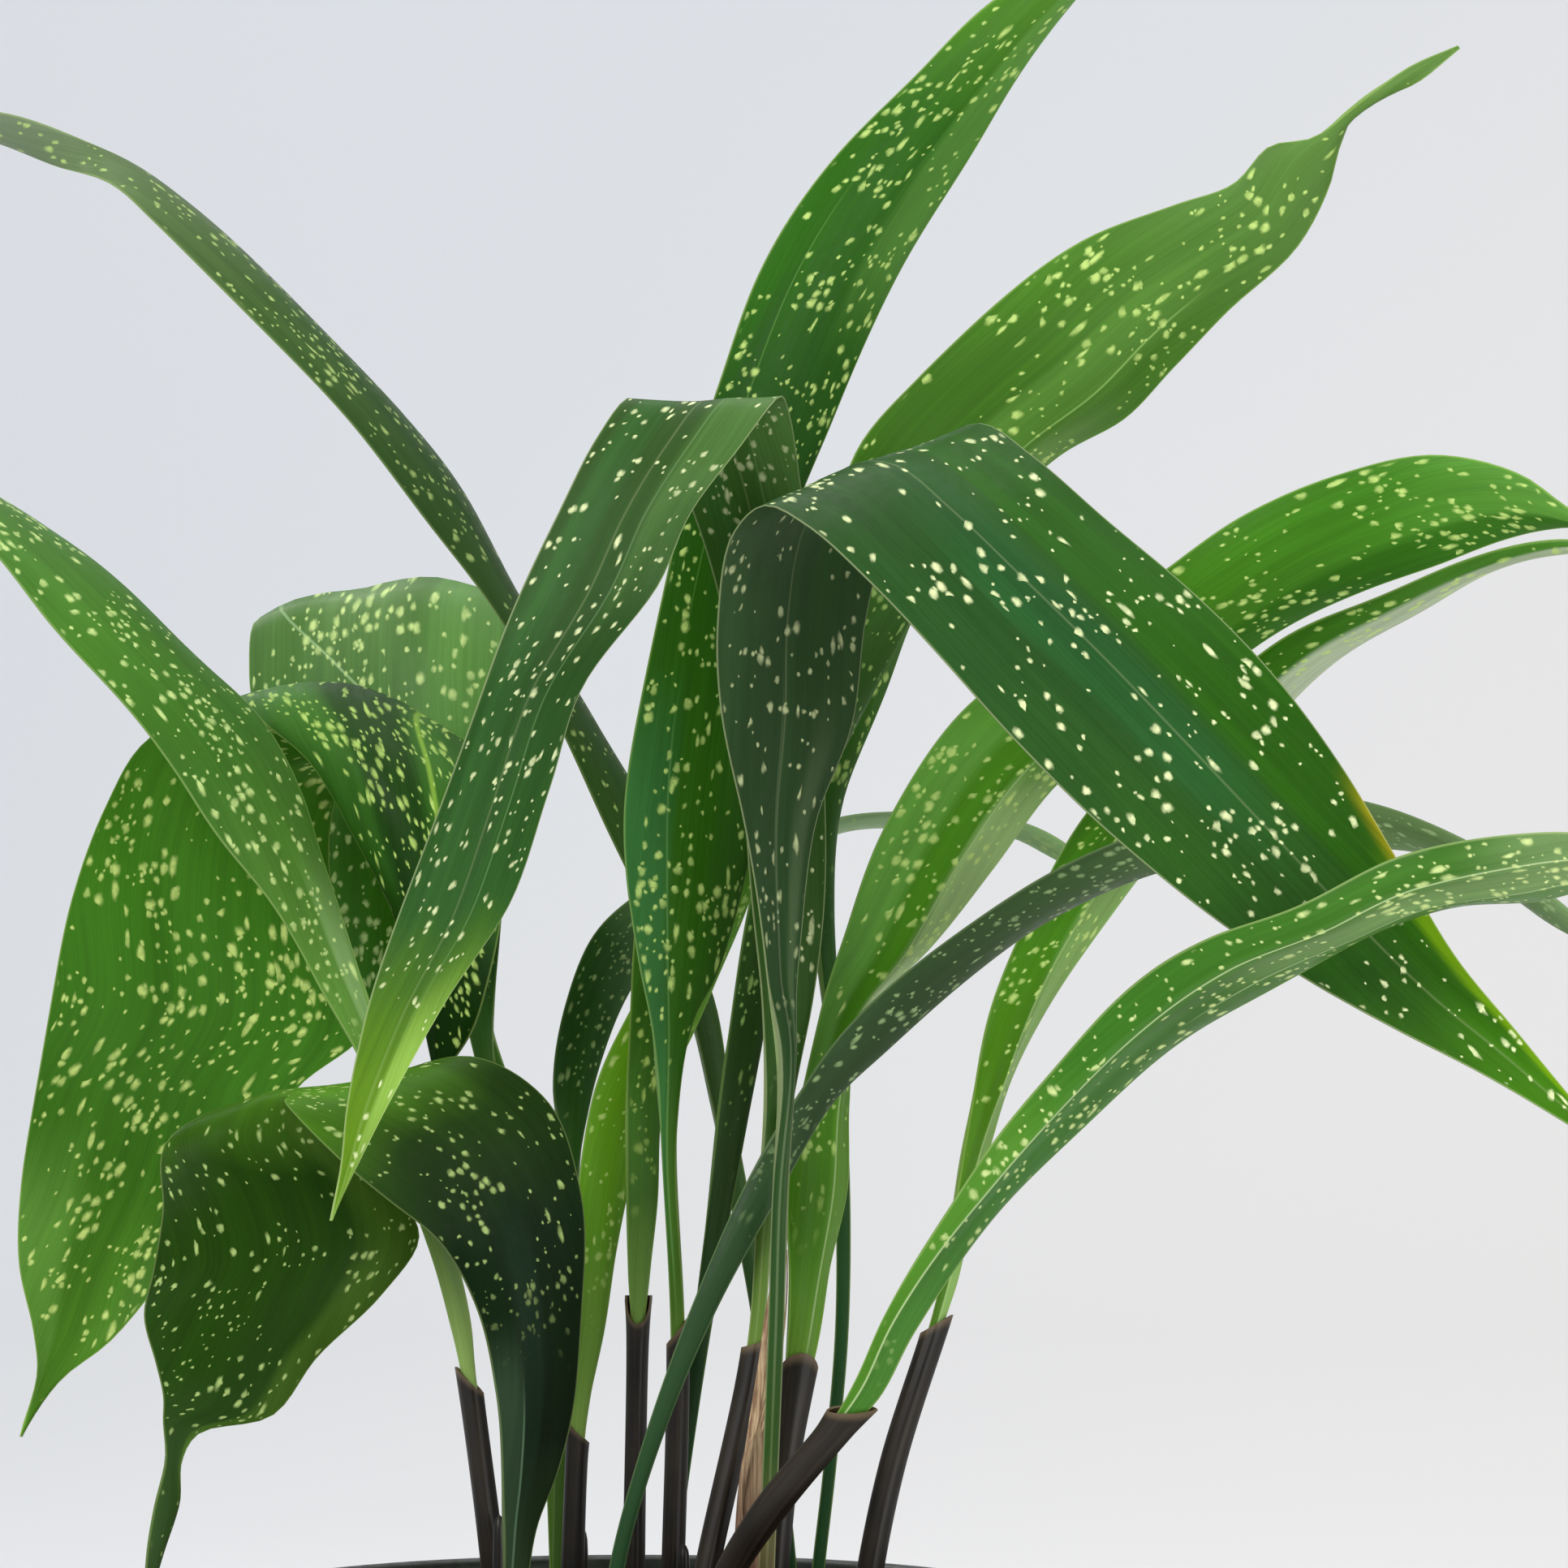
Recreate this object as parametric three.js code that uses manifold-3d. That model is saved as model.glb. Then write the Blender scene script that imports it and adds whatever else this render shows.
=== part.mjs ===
// A potted cast iron plant with cream spotted leaves, in a dark nursery pot.
// Millimetres, +Z up, the origin at the middle of the pot's foot. The viewer stands on the -Y side.
import * as THREE from "three";
import { mergeVertices } from "three/addons/utils/BufferGeometryUtils.js";
import Module from "manifold-3d";

const wasm = await Module();
wasm.setup();

// Driving dimensions
const POT_HEIGHT = 195;
const RIM_RADIUS = 125;
const FOOT_RADIUS = 92;
const WALL = 2.5;
const LIP_HEIGHT = 16;
const LIP_OUT = 4;
const FLOOR = 3;
const DRAIN_RADIUS = 6;
const DRAIN_CIRCLE = 62;
const DRAINS = 8;
const SOIL_EDGE = 186;
const SOIL_MIDDLE = 194;
const CLEARANCE = 0.3;
const HOLE_GAP = 0.9;
const BARE_ROOM = 1.8;
const RHIZOME_RADIUS = 7.5;
const RHIZOME_HEIGHT = 158;
const FOOT_HEIGHT = 166;
const SUNK_SLANT = 0.55;
const LEAF_THICKNESS = 0.9;
const STALK_THICKNESS = 4.2;
const STALK_WIDTH = 7;
const BLADE_WIDTH = 15.4;
const SHEATH_WALL = 0.7;
const SHEATH_FOOT = 176;
const SHEATH_ROOM = 2.8;
const SHEATH_DEPTH = 7.4;
const LEAF_RINGS = 25;
const WAVES = 20;
const RING_TURN = 1.9;
const EDGE_TURN = 1.3;
const SLEEVE_SIDES = 8;
const LEVEL_STEP = 17;
const BUD_RADIUS = 2;
const BUD_FOOT = 178;
const ROUND_SEGMENTS = 48;

// The leaves' points are set out on the upright plane through the pot's middle, as an eye at this
// place sees it, and each is carried forward or back along the line of sight by its depth.
const EYE_DISTANCE = 2600;
const EYE_ACROSS = 47.5;
const EYE_UP = 443.5;

function sighted(across, up, depth) {
  const spread = 1 + depth / EYE_DISTANCE;
  return new THREE.Vector3(
    EYE_ACROSS + (across - EYE_ACROSS) * spread,
    depth,
    EYE_UP + (up - EYE_UP) * spread,
  );
}

// Each leaf is a list of rows from foot to tip. A row holds one edge and then the other:
// across, up, depth, across, up, depth. `fold` is the depth of the trough along the midrib as a
// share of the width, `wave` the height of the waves along the edges. `sheath` is how high the
// dark scale round the stalk's foot reaches, `sheathRoom` how much wider than the stalk it is, and
// `lip` how far its lip rises to the right and at the front.
const LEAVES = {
  tall: { fold: 0.1, wave: 1.2, sheath: 275, lip: [4, 0], rows: [
    [11, 196, -8, 15.4, 196, -8], [12.6, 272, -8, 17, 272, -8], [9.5, 335, -6, 14.5, 335, -6],
    [7, 365, -8, 19, 370, -2], [2, 390, -12, 27, 385, 0], [-1, 415, -14, 35, 410, 2],
    [-1, 440, -12, 40, 438, 6], [5, 480, -6, 44, 475, 12], [15, 522, -2, 47.5, 515, 16],
    [25.5, 562, 0, 62.5, 557, 20], [39.5, 600, 4, 83, 600, 24], [62, 635, 8, 102, 633, 28],
    [87.5, 662, 12, 117.5, 658, 30], [113, 685, 18, 138, 685, 32], [155, 706, 26, 157, 707, 27],
  ] },
  front_arch: { fold: 0.02, wave: 0.8, sheath: 271, sheathRoom: 3.4, lip: [1, 0], rows: [
    [20.5, 196, -38, 25, 196, -38], [36, 270, -33, 40.6, 270, -33], [39, 310, -30, 44.5, 310, -30],
    [41.5, 345, -27, 50, 345, -24], [41, 375, -27, 56, 375, -20], [37, 410, -26, 60, 412, -16],
    [34, 450, -27, 60, 455, -16], [30, 490, -32, 58, 498, -20], [20, 525, -40, 53, 532, -27],
    [8, 552, -52, 49.5, 557, -38], [0, 562, -66, 46, 562, -52], [-11, 549, -80, 33, 546, -66],
    [-22.5, 526, -90, 19, 527, -74], [-34.5, 500, -97, 9, 505, -78], [-47.5, 467, -104, -15, 473.5, -82],
    [-60.5, 432, -110, -24.5, 442, -86], [-73, 397, -116, -36, 408, -92],
    [-81.5, 371, -122, -57.5, 376, -104], [-87.5, 345, -127, -74.5, 345, -118],
    [-89.5, 325, -131, -85, 323, -127], [-92.3, 309, -134, -91.5, 309, -133.5],
  ] },
  broad_arch: { fold: -0.02, wave: 0.8, sheath: 0, rows: [
    [39.5, 196, -56, 44.5, 196, -56], [42.5, 275, -55, 47.5, 275, -55],
    [44, 320, -54, 49, 320, -54], [46, 355, -54, 50.5, 355, -50], [42, 388, -58, 51.5, 390, -44],
    [35, 430, -64, 57, 430, -40], [28.5, 465, -70, 69, 462, -38], [27.5, 495, -78, 72.5, 495, -36],
    [31, 520, -88, 79, 522, -36], [41, 530, -98, 92, 544, -40], [55, 523, -106, 107, 554, -52],
    [72, 507, -112, 124, 544, -66], [95, 483, -117, 146, 526, -78], [120, 456, -122, 172, 504, -90],
    [148, 428, -127, 198, 477, -102], [177, 404, -132, 220, 448, -112],
    [206, 385, -137, 238, 418, -121], [236, 368, -141, 255, 389, -129],
    [264, 353, -144, 274, 366, -138], [303, 330, -148, 304, 330.5, -148],
  ] },
  upper_right: { fold: 0.1, wave: 1.5, sheath: 0, rows: [
    [55.5, 196, 62, 59.5, 196, 62], [59.5, 232, 60, 63.5, 232, 60], [63.2, 275, 57, 67.4, 275, 57],
    [63.2, 322, 52, 67.8, 322, 52], [60.5, 366, 48, 65, 366, 49], [56.5, 405, 40, 62.5, 405, 46],
    [56, 440, 34, 66, 440, 42], [59, 475, 28, 79, 474, 42], [62, 510, 24, 92, 502, 46],
    [70, 545, 22, 113, 528, 50],
    [88, 568, 24, 132, 545, 50], [113, 592, 28, 153, 556, 46], [140, 611, 32, 168, 572, 42],
    [168, 622, 34, 184, 589, 38], [186, 628.5, 34, 205, 608, 34], [197, 640, 32, 215, 626, 32],
    [210, 642.5, 30, 219, 640, 30], [221, 649.5, 28, 224.5, 649.5, 32],
    [231, 657.5, 27, 236, 656.5, 29], [240, 664.5, 27, 243.5, 660, 27],
    [255, 671, 26, 255.8, 670, 26],
  ] },
  right_back: { fold: 0.1, wave: 1, sheath: 262.5, sheathRoom: 3.7, lip: [0, 6], rows: [
    [42.8, 196, -18, 46.8, 196, -18], [45.6, 232, -17, 50.2, 232, -17], [47.2, 256, -16, 54.6, 256, -16],
    [48.4, 272, -17, 58, 272, -15], [49, 292, -18, 61.5, 292, -12], [49, 318, -18, 67, 318, -8],
    [52, 345, -14, 67, 345, -2], [58, 372, -8, 71, 370, 6],
    [66, 395, -2, 92, 392, 14], [78, 430, 4, 112, 418, 22], [99, 462, 8, 135, 446, 26],
    [130, 487, 10, 168, 468, 26], [160, 506, 10, 200, 490, 24], [190, 526.5, 8, 228, 503.8, 18],
    [218, 539, 4, 251, 512, 12], [247, 545, 0, 268, 518, 6], [273, 539, -6, 282, 521.5, -2],
    [289, 528, -10, 293, 522.5, -8], [306, 520, -14, 306.4, 519.4, -14],
  ] },
  right_low: { fold: 0.14, wave: 0.8, sheath: 277, sheathRoom: 4.2, lip: [3, 0], rows: [
    [71, 196, 8, 75.3, 196, 8], [79, 235, 10, 83.3, 235, 10], [92.6, 278, 13, 97, 278, 13],
    [96, 292, 15, 101.5, 292, 15],
    [99.5, 312, 18, 105.5, 312, 20], [105, 345, 22, 115, 345, 30], [113, 379, 30, 132, 380, 42],
    [126, 410, 38, 152, 408, 52], [143, 437, 44, 176, 437, 58], [170, 463, 46, 200, 464.5, 60],
    [200, 487, 44, 222, 484, 58], [228, 500.5, 40, 245, 498, 52], [256, 512.2, 36, 268, 509.5, 42],
    [286, 518.5, 30, 288, 514.3, 32], [306, 516.5, 26, 306.5, 516, 26],
  ] },
  long_slanting: { fold: 0.1, wave: 0.5, sheath: 0, rows: [
    [-7.5, 196, -38, -2.5, 196, -38], [-3.5, 215, -38, 1.5, 215, -38], [7, 250, -39, 12, 247, -39],
    [20, 285, -40, 27, 282, -40], [36, 321, -38, 45, 315, -38], [50, 345, -36, 61, 343, -30],
    [66, 367, -32, 79, 361, -22], [89, 389, -26, 102, 382, -12], [118, 409, -20, 131, 402, -4],
    [148, 425, -16, 161, 416, 0], [180, 437, -8, 194, 422, 6], [210, 440, -6, 222, 424, 8],
    [235, 436, -6, 246, 422, 6], [262, 424, -8, 266, 412, 2], [285, 408, -12, 284, 400, -6],
    [303, 392, -16, 303, 391, -16],
  ] },
  right_front: { fold: 0.16, wave: 0.8, sheath: 252, sheathRoom: 5.2, lip: [5, 0], rows: [
    [26, 196, -66, 30.6, 196, -66], [41, 221.5, -78, 45, 218.5, -78], [62, 247, -91, 66, 243.6, -91],
    [69.5, 260, -97, 77, 254.5, -97], [79, 281, -104, 87.5, 274, -104], [97, 311, -114, 106.5, 302.5, -110],
    [125, 349.5, -128, 140, 338.5, -118], [150, 377, -140, 168.5, 362.5, -126],
    [178, 396, -154, 200, 382, -144], [208, 407, -164, 230, 397, -152],
    [238, 421, -164, 256, 406, -150], [268, 428, -168, 282, 408, -156],
    [296, 428, -170, 302, 412, -160], [318, 420, -172, 320, 410, -165],
    [338, 404, -174, 338.3, 403, -174],
  ] },
  back_arch: { fold: 0.08, wave: 0.5, sheath: 0, rows: [
    [-24, 196, 40, -19, 196, 40], [-22, 285, 52, -17, 285, 52], [-21, 330, 58, -15, 330, 58],
    [-23.5, 350, 60, -11, 350, 66], [-20, 375, 64, -4, 372, 76], [-12, 396, 72, 4, 386, 90],
    [2, 409, 84, 14, 398, 106], [25, 420, 98, 30, 411, 120], [48, 427.5, 110, 50, 422, 128],
    [66, 433, 118, 67, 429, 132], [85, 435, 124, 85, 430.5, 136], [104, 435, 128, 102.5, 429.5, 138],
    [121, 431.5, 130, 118, 426.5, 138], [134, 425, 131, 131, 420.3, 136], [147, 414, 132, 146.5, 413.5, 132],
  ] },
  upper_left: { fold: 0.1, wave: 0.5, sheath: 0, rows: [
    [47, 196, 78, 52, 196, 78], [40, 262, 74, 45, 262, 74], [36, 288, 72, 41, 288, 72],
    [31, 314, 70, 37, 315, 70], [25, 345, 68, 31, 346, 70], [18, 374, 64, 26, 376, 68],
    [5, 404, 60, 14, 406, 70], [-6, 428, 56, 6, 434, 70], [-20, 458, 50, -10, 461, 68],
    [-44, 500, 38, -33, 500, 62], [-64, 527, 28, -51, 533, 56], [-84, 552, 20, -70, 557, 50],
    [-104, 574, 12, -91, 580, 44], [-126, 597, 8, -114, 603, 38], [-147, 617, 4, -136, 622, 30],
    [-160, 628, 6, -154, 635, 20], [-177, 634, 14, -174, 644, 8], [-196, 641, 18, -194, 650, 4],
    [-216, 645, 16, -215, 651, 8], [-238, 648, 10, -238, 648.8, 10],
  ] },
  broad_left: { fold: 0.06, wave: 1.5, sheath: 0, rows: [
    [-24.5, 196, 62, -20.5, 196, 62], [-28, 260, 70, -24, 260, 70], [-40, 330, 76, -35, 330, 76],
    [-51, 375, 76, -45, 375, 78], [-67, 422, 72, -49, 412, 76], [-96, 456, 58, -62, 438, 70],
    [-128, 466, 42, -76, 450, 62], [-150, 456, 26, -88, 445, 54], [-162, 436, 14, -92, 430, 46],
    [-171, 410, 6, -90, 403, 38], [-178, 378, 0, -80.5, 370, 35], [-183.5, 348, -4, -103, 349, 24],
    [-187.5, 318, -6, -118, 322, 14], [-188, 295, -8, -140, 296, 4], [-184, 275, -9, -160, 272, -3],
    [-183, 262, -10, -175, 260, -7], [-188, 242.5, -12, -187.2, 242.5, -12],
  ] },
  left_slanting: { fold: 0.1, wave: 0.8, sheath: 260, sheathRoom: 3.4, lip: [-4, 0], rows: [
    [-43.5, 196, -20, -39.2, 196, -20], [-52, 262, -24, -47.5, 262, -24],
    [-55.6, 278, -25, -49, 278, -25], [-60.5, 296, -26, -53, 296, -26],
    [-69, 320, -28, -62, 322, -28],
    [-79, 350, -30, -72, 353, -30], [-96.5, 382.5, -32, -84, 387, -26],
    [-111, 407, -34, -93.5, 418, -20], [-126.5, 427.5, -34, -101, 441, -14],
    [-140, 447, -32, -113, 462, -8], [-158, 470, -30, -131, 481, -2],
    [-178, 493, -26, -152, 501, 2], [-196, 514, -22, -175, 519, 4],
    [-213, 530, -18, -196, 533.5, 2], [-240, 552, -8, -239.5, 552.5, -8],
  ] },
  folded_front: { fold: 0.05, wave: 1.2, sheath: 0, rows: [
    [-39, 196, -58, -31.5, 196, -57], [-39, 214, -61, -29, 214, -57], [-39.5, 232, -65, -22.5, 232, -58],
    [-41.5, 256, -70, -16.5, 256, -58],
    [-46, 280, -74, -14.5, 285, -58], [-58, 301, -80, -15.5, 318, -58], [-74, 315, -84, -24.5, 345.5, -58],
    [-90, 329, -86, -47, 359, -58], [-106, 344, -82, -80, 351.5, -54],
    [-104, 345, -73, -118, 347, -48], [-91, 335, -60, -143, 333, -52],
    [-74, 320, -50, -144, 312, -58], [-65, 304, -46, -147, 293, -62],
    [-76.5, 286, -50, -149.5, 280, -66],
    [-96, 267, -56, -146, 265, -68], [-110, 249, -60, -144, 255, -69],
    [-133, 243.5, -66, -144, 247, -70], [-138.5, 235, -68, -143, 235, -71],
    [-138.5, 222, -67, -146, 220, -72], [-143, 206, -68, -149, 204, -72],
    [-150, 186, -70, -150.8, 186, -70],
  ] },
  middle_left: { fold: -0.17, wave: 1, sheath: 0, rows: [
    [-36, 196, 16, -32, 196, 16], [-37, 260, 18, -33, 260, 18], [-41, 320, 22, -36, 320, 22],
    [-48, 360, 26, -42, 362, 26], [-58, 395, 32, -40, 395, 28], [-74, 430, 42, -38, 425, 30],
    [-98, 459, 44, -36, 440, 30], [-121, 471, 34, -40, 444, 18], [-112, 461, 14, -38, 430, 0],
    [-98, 449, 4, -38, 415, -8], [-84, 425, -2, -40, 400, -12], [-73, 403, -4, -43, 384, -12],
    [-66, 382, -4, -48, 368, -10], [-60, 352, -4, -59.2, 352, -4],
  ] },
  back_left: { fold: -0.14, wave: 1.2, sheath: 0, rows: [
    [-20, 196, 88, -15, 196, 88], [-28, 270, 102, -23, 270, 102], [-38, 340, 110, -33.5, 340, 110],
    [-48.5, 375, 117, -43.5, 375, 115], [-54, 405, 122, -40, 405, 112], [-61, 432, 124, -31, 430, 112],
    [-76, 464, 126, -22, 464, 108], [-96, 486, 122, -22, 487, 106], [-114.5, 495, 114, -26, 495, 98],
    [-117.5, 478, 104, -26, 482, 86],
    [-113.5, 455, 98, -29, 460, 80], [-106, 432, 94, -35, 434, 80], [-98, 408, 94, -44, 410, 82],
    [-90, 384, 96, -56, 384, 86], [-82, 362, 98, -67, 362, 94], [-76, 338, 100, -75.2, 338, 100],
  ] },
  middle: { fold: 0.1, wave: 0.5, sheath: 286, lip: [0, -9], rows: [
    [-1, 196, 12, 3.2, 196, 12], [0.3, 276, 14, 4.7, 276, 14], [-0.6, 294, 15, 6.4, 294, 15],
    [-1, 315, 16, 8.5, 315, 18],
    [-1, 345, 18, 10, 345, 24], [0, 375, 20, 18, 375, 34], [3, 410, 22, 27, 410, 40],
    [7, 445, 24, 32, 445, 42], [12, 480, 26, 34, 480, 42], [19, 512, 28, 33, 510, 40],
    [29, 540, 32, 29.8, 540, 32],
  ] },
  young_left: { fold: 0.12, wave: 0.6, sheath: 243.6, lip: [-3, 0], rows: [
    [-20, 196, 22, -15.6, 196, 22], [-18.4, 240, 24, -14, 240, 24],
    [-18.2, 254, 25, -12.2, 254, 25], [-16.5, 275, 26, -8, 275, 28],
    [-16, 300, 28, -4, 300, 32], [-15.5, 325, 30, 1, 325, 38],
    [-11, 348, 34, 8, 345, 44], [-3, 368, 38, 18, 364, 50], [8, 388, 44, 27, 383, 54],
    [20, 408, 50, 35, 403, 58], [34, 430, 56, 43, 426, 60], [50, 452, 62, 50.8, 452, 62],
  ] },
  narrow_middle: { fold: 0.1, wave: 0.4, sheath: 0, rows: [
    [9, 196, 6, 14, 196, 6], [16, 249, 4, 21, 249, 4], [23, 305, 2, 30, 305, 2],
    [27.5, 345, 0, 37.5, 347, 4], [33, 385, 0, 45, 385, 8], [40, 420, 2, 53, 416, 14],
    [48, 448, 4, 60.5, 441, 18], [57, 474, 6, 72, 466, 20], [67, 496, 8, 83, 487, 18],
    [83, 514, 10, 93, 505, 16], [108, 529, 12, 108.7, 528, 12],
  ] },
};

// The edges of a leaf as two smooth curves, carried down into the soil to the rhizome.
function edgesOf(leaf) {
  const rows = leaf.rows.map((row) => [
    sighted(row[0], row[1], row[2]),
    sighted(row[3], row[4], row[5]),
  ]);
  const middles = [0, 1].map((i) => rows[i][0].clone().add(rows[i][1]).multiplyScalar(0.5));
  const down = middles[0].clone().sub(middles[1]);
  down.multiplyScalar((SUNK_SLANT * (middles[0].z - FOOT_HEIGHT)) / (middles[1].z - middles[0].z));
  rows.unshift(rows[0].map((point) => point.clone().add(down).setZ(FOOT_HEIGHT)));
  return [0, 1].map((side) => new THREE.CatmullRomCurve3(rows.map((row) => row[side]), false));
}

function smoothstep(low, high, value) {
  const t = Math.min(Math.max((value - low) / (high - low), 0), 1);
  return t * t * (3 - 2 * t);
}

// Where the rings of a leaf lie: even steps of length along the middle of the two edges.
function ringPlaces(edges, rings) {
  const fine = 400;
  const lengths = [0];
  let before = null;
  for (let i = 0; i <= fine; i += 1) {
    const middle = edges[0].getPoint(i / fine).add(edges[1].getPoint(i / fine)).multiplyScalar(0.5);
    if (before) lengths.push(lengths[i - 1] + middle.distanceTo(before));
    before = middle;
  }
  const places = [];
  let i = 0;
  for (let ring = 0; ring < rings; ring += 1) {
    const goal = (lengths[fine] * ring) / (rings - 1);
    while (i < fine && lengths[i] < goal) i += 1;
    places.push(i / fine);
  }
  return places;
}

const ACROSS = [-1, -0.5, 0, 0.5, 1];

// One leaf as a closed solid. Each ring has five points on the upper face and five below them, so
// both faces are split into triangles alike.
function leafGeometry(leaf) {
  const edges = edgesOf(leaf);
  const rings = [];
  const count = leaf.rings ?? LEAF_RINGS;
  const places = ringPlaces(edges, count);
  places.forEach((place, index) => {
    const left = edges[0].getPoint(place);
    const right = edges[1].getPoint(place);
    const chord = right.clone().sub(left);
    const width = chord.length();
    const middle = left.clone().add(right).multiplyScalar(0.5);
    const step = 0.004;
    const ahead = Math.min(place + step, 1);
    const behind = Math.max(place - step, 0);
    const way = edges[0].getPoint(ahead).add(edges[1].getPoint(ahead));
    way.sub(edges[0].getPoint(behind)).sub(edges[1].getPoint(behind)).normalize();
    const side = chord.clone().normalize();
    const normal = side.clone().cross(way).normalize();
    const share = index / (count - 1);
    const blade = smoothstep(STALK_WIDTH, BLADE_WIDTH, width) * smoothstep(0, 0.3, share);
    const thin = share > 0.5 ? 1 : blade;
    const ring = { upper: [], lower: [] };
    ACROSS.forEach((t) => {
      const trough = leaf.fold * width * (1 - t * t) * thin;
      const turn = share * WAVES * RING_TURN + (t > 0 ? EDGE_TURN : 0);
      const wave = leaf.wave * t * t * thin * Math.sin(turn);
      const round = (STALK_THICKNESS / 2) * Math.sqrt(1 - 0.75 * t * t);
      const half = thin * (LEAF_THICKNESS / 2) + (1 - thin) * round;
      const at = middle.clone().addScaledVector(side, (t * width) / 2);
      at.addScaledVector(normal, trough + wave);
      ring.upper.push(at.clone().addScaledVector(normal, half));
      ring.lower.push(at.clone().addScaledVector(normal, -half));
    });
    rings.push(ring);
  });
  return ribbonSolid(rings);
}

function ribbonSolid(rings) {
  const points = [];
  const count = ACROSS.length;
  rings.forEach((ring) => points.push(...ring.upper, ...ring.lower));
  const at = (ring, index, below) => ring * 2 * count + (below ? count : 0) + index;
  const faces = [];
  const quad = (a, b, c, d) => faces.push(a, b, c, a, c, d);
  for (let r = 0; r + 1 < rings.length; r += 1) {
    for (let i = 0; i + 1 < count; i += 1) {
      quad(at(r, i), at(r, i + 1), at(r + 1, i + 1), at(r + 1, i));
      faces.push(at(r, i, 1), at(r + 1, i + 1, 1), at(r, i + 1, 1));
      faces.push(at(r, i, 1), at(r + 1, i, 1), at(r + 1, i + 1, 1));
    }
    quad(at(r, 0, 1), at(r, 0), at(r + 1, 0), at(r + 1, 0, 1));
    const e = count - 1;
    quad(at(r, e), at(r, e, 1), at(r + 1, e, 1), at(r + 1, e));
  }
  const last = rings.length - 1;
  for (let i = 0; i + 1 < count; i += 1) {
    quad(at(0, i), at(0, i, 1), at(0, i + 1, 1), at(0, i + 1));
    quad(at(last, i, 1), at(last, i), at(last, i + 1), at(last, i + 1, 1));
  }
  return closedGeometry(points, faces);
}

function closedGeometry(points, faces) {
  const geometry = new THREE.BufferGeometry();
  const flat = points.flatMap((point) => [point.x, point.y, point.z]);
  geometry.setAttribute("position", new THREE.Float32BufferAttribute(flat, 3));
  geometry.setIndex(faces);
  return geometry;
}

// Joining and cutting of closed solids
function toSolid(geometry) {
  const bare = geometry.clone();
  bare.deleteAttribute("normal");
  bare.deleteAttribute("uv");
  const merged = mergeVertices(bare, 1e-3);
  return new wasm.Manifold(new wasm.Mesh({
    numProp: 3,
    vertProperties: new Float32Array(merged.attributes.position.array),
    triVerts: new Uint32Array(merged.index.array),
  }));
}

function toGeometry(solid) {
  const mesh = solid.getMesh();
  const geometry = new THREE.BufferGeometry();
  geometry.setAttribute("position", new THREE.BufferAttribute(mesh.vertProperties, 3));
  geometry.setIndex(new THREE.BufferAttribute(mesh.triVerts, 1));
  return geometry;
}

function lathe(profile, segments) {
  const outline = profile.map(([r, z]) => new THREE.Vector2(r, z));
  const geometry = new THREE.LatheGeometry(outline, segments);
  geometry.rotateX(Math.PI / 2);
  return geometry;
}

const plastic = new THREE.MeshStandardMaterial({ color: "#1c211e", roughness: 0.45, metalness: 0 });
const compost = new THREE.MeshStandardMaterial({ color: "#4a3324", roughness: 0.95, metalness: 0 });
const root = new THREE.MeshStandardMaterial({ color: "#a08a60", roughness: 0.8, metalness: 0 });
const green = new THREE.MeshStandardMaterial({ color: "#2f6b2a", roughness: 0.4, metalness: 0 });
const scale = new THREE.MeshStandardMaterial({ color: "#3c3230", roughness: 0.6, metalness: 0 });

const plant = new THREE.Group();

function place(name, geometry, material) {
  const mesh = new THREE.Mesh(geometry, material);
  mesh.name = name;
  plant.add(mesh);
}

// The middle line of a stalk at a height, and the frame across it there.
function stalkFrame(edges, height) {
  let low = 0;
  let high = 0.5;
  for (let i = 0; i < 40; i += 1) {
    const t = (low + high) / 2;
    const z = (edges[0].getPoint(t).z + edges[1].getPoint(t).z) / 2;
    if (z < height) low = t;
    else high = t;
  }
  const left = edges[0].getPoint(low);
  const right = edges[1].getPoint(low);
  const middle = left.clone().add(right).multiplyScalar(0.5).setZ(height);
  const way = edges[0].getPoint(low + 0.01).add(edges[1].getPoint(low + 0.01));
  way.sub(left).sub(right).normalize();
  const side = right.sub(left);
  const width = side.length();
  side.normalize();
  const face = side.clone().cross(way).normalize();
  return { middle, side, face, way, width };
}

// Oval rings round a stalk from one height to another, with `room` more width than the stalk has.
// The last ring rises to the right and at the front by `lip`.
function sleeveRings(edges, from, to, room, depth, lip = [0, 0]) {
  const levels = Math.max(2, Math.round((to - from) / LEVEL_STEP));
  const rings = [];
  for (let level = 0; level <= levels; level += 1) {
    const height = from + ((to - from) * level) / levels;
    const { middle, side, face, way, width } = stalkFrame(edges, height);
    const ring = [];
    for (let i = 0; i < SLEEVE_SIDES; i += 1) {
      const turn = (2 * Math.PI * i) / SLEEVE_SIDES;
      const point = middle.clone();
      point.addScaledVector(side, (Math.cos(turn) * (width + room)) / 2);
      point.addScaledVector(face, (Math.sin(turn) * depth) / 2);
      if (level === levels) {
        point.addScaledVector(way, lip[0] * Math.cos(turn) + lip[1] * Math.max(0, Math.sin(turn)));
      }
      ring.push(point);
    }
    rings.push(ring);
  }
  return rings;
}

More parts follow.
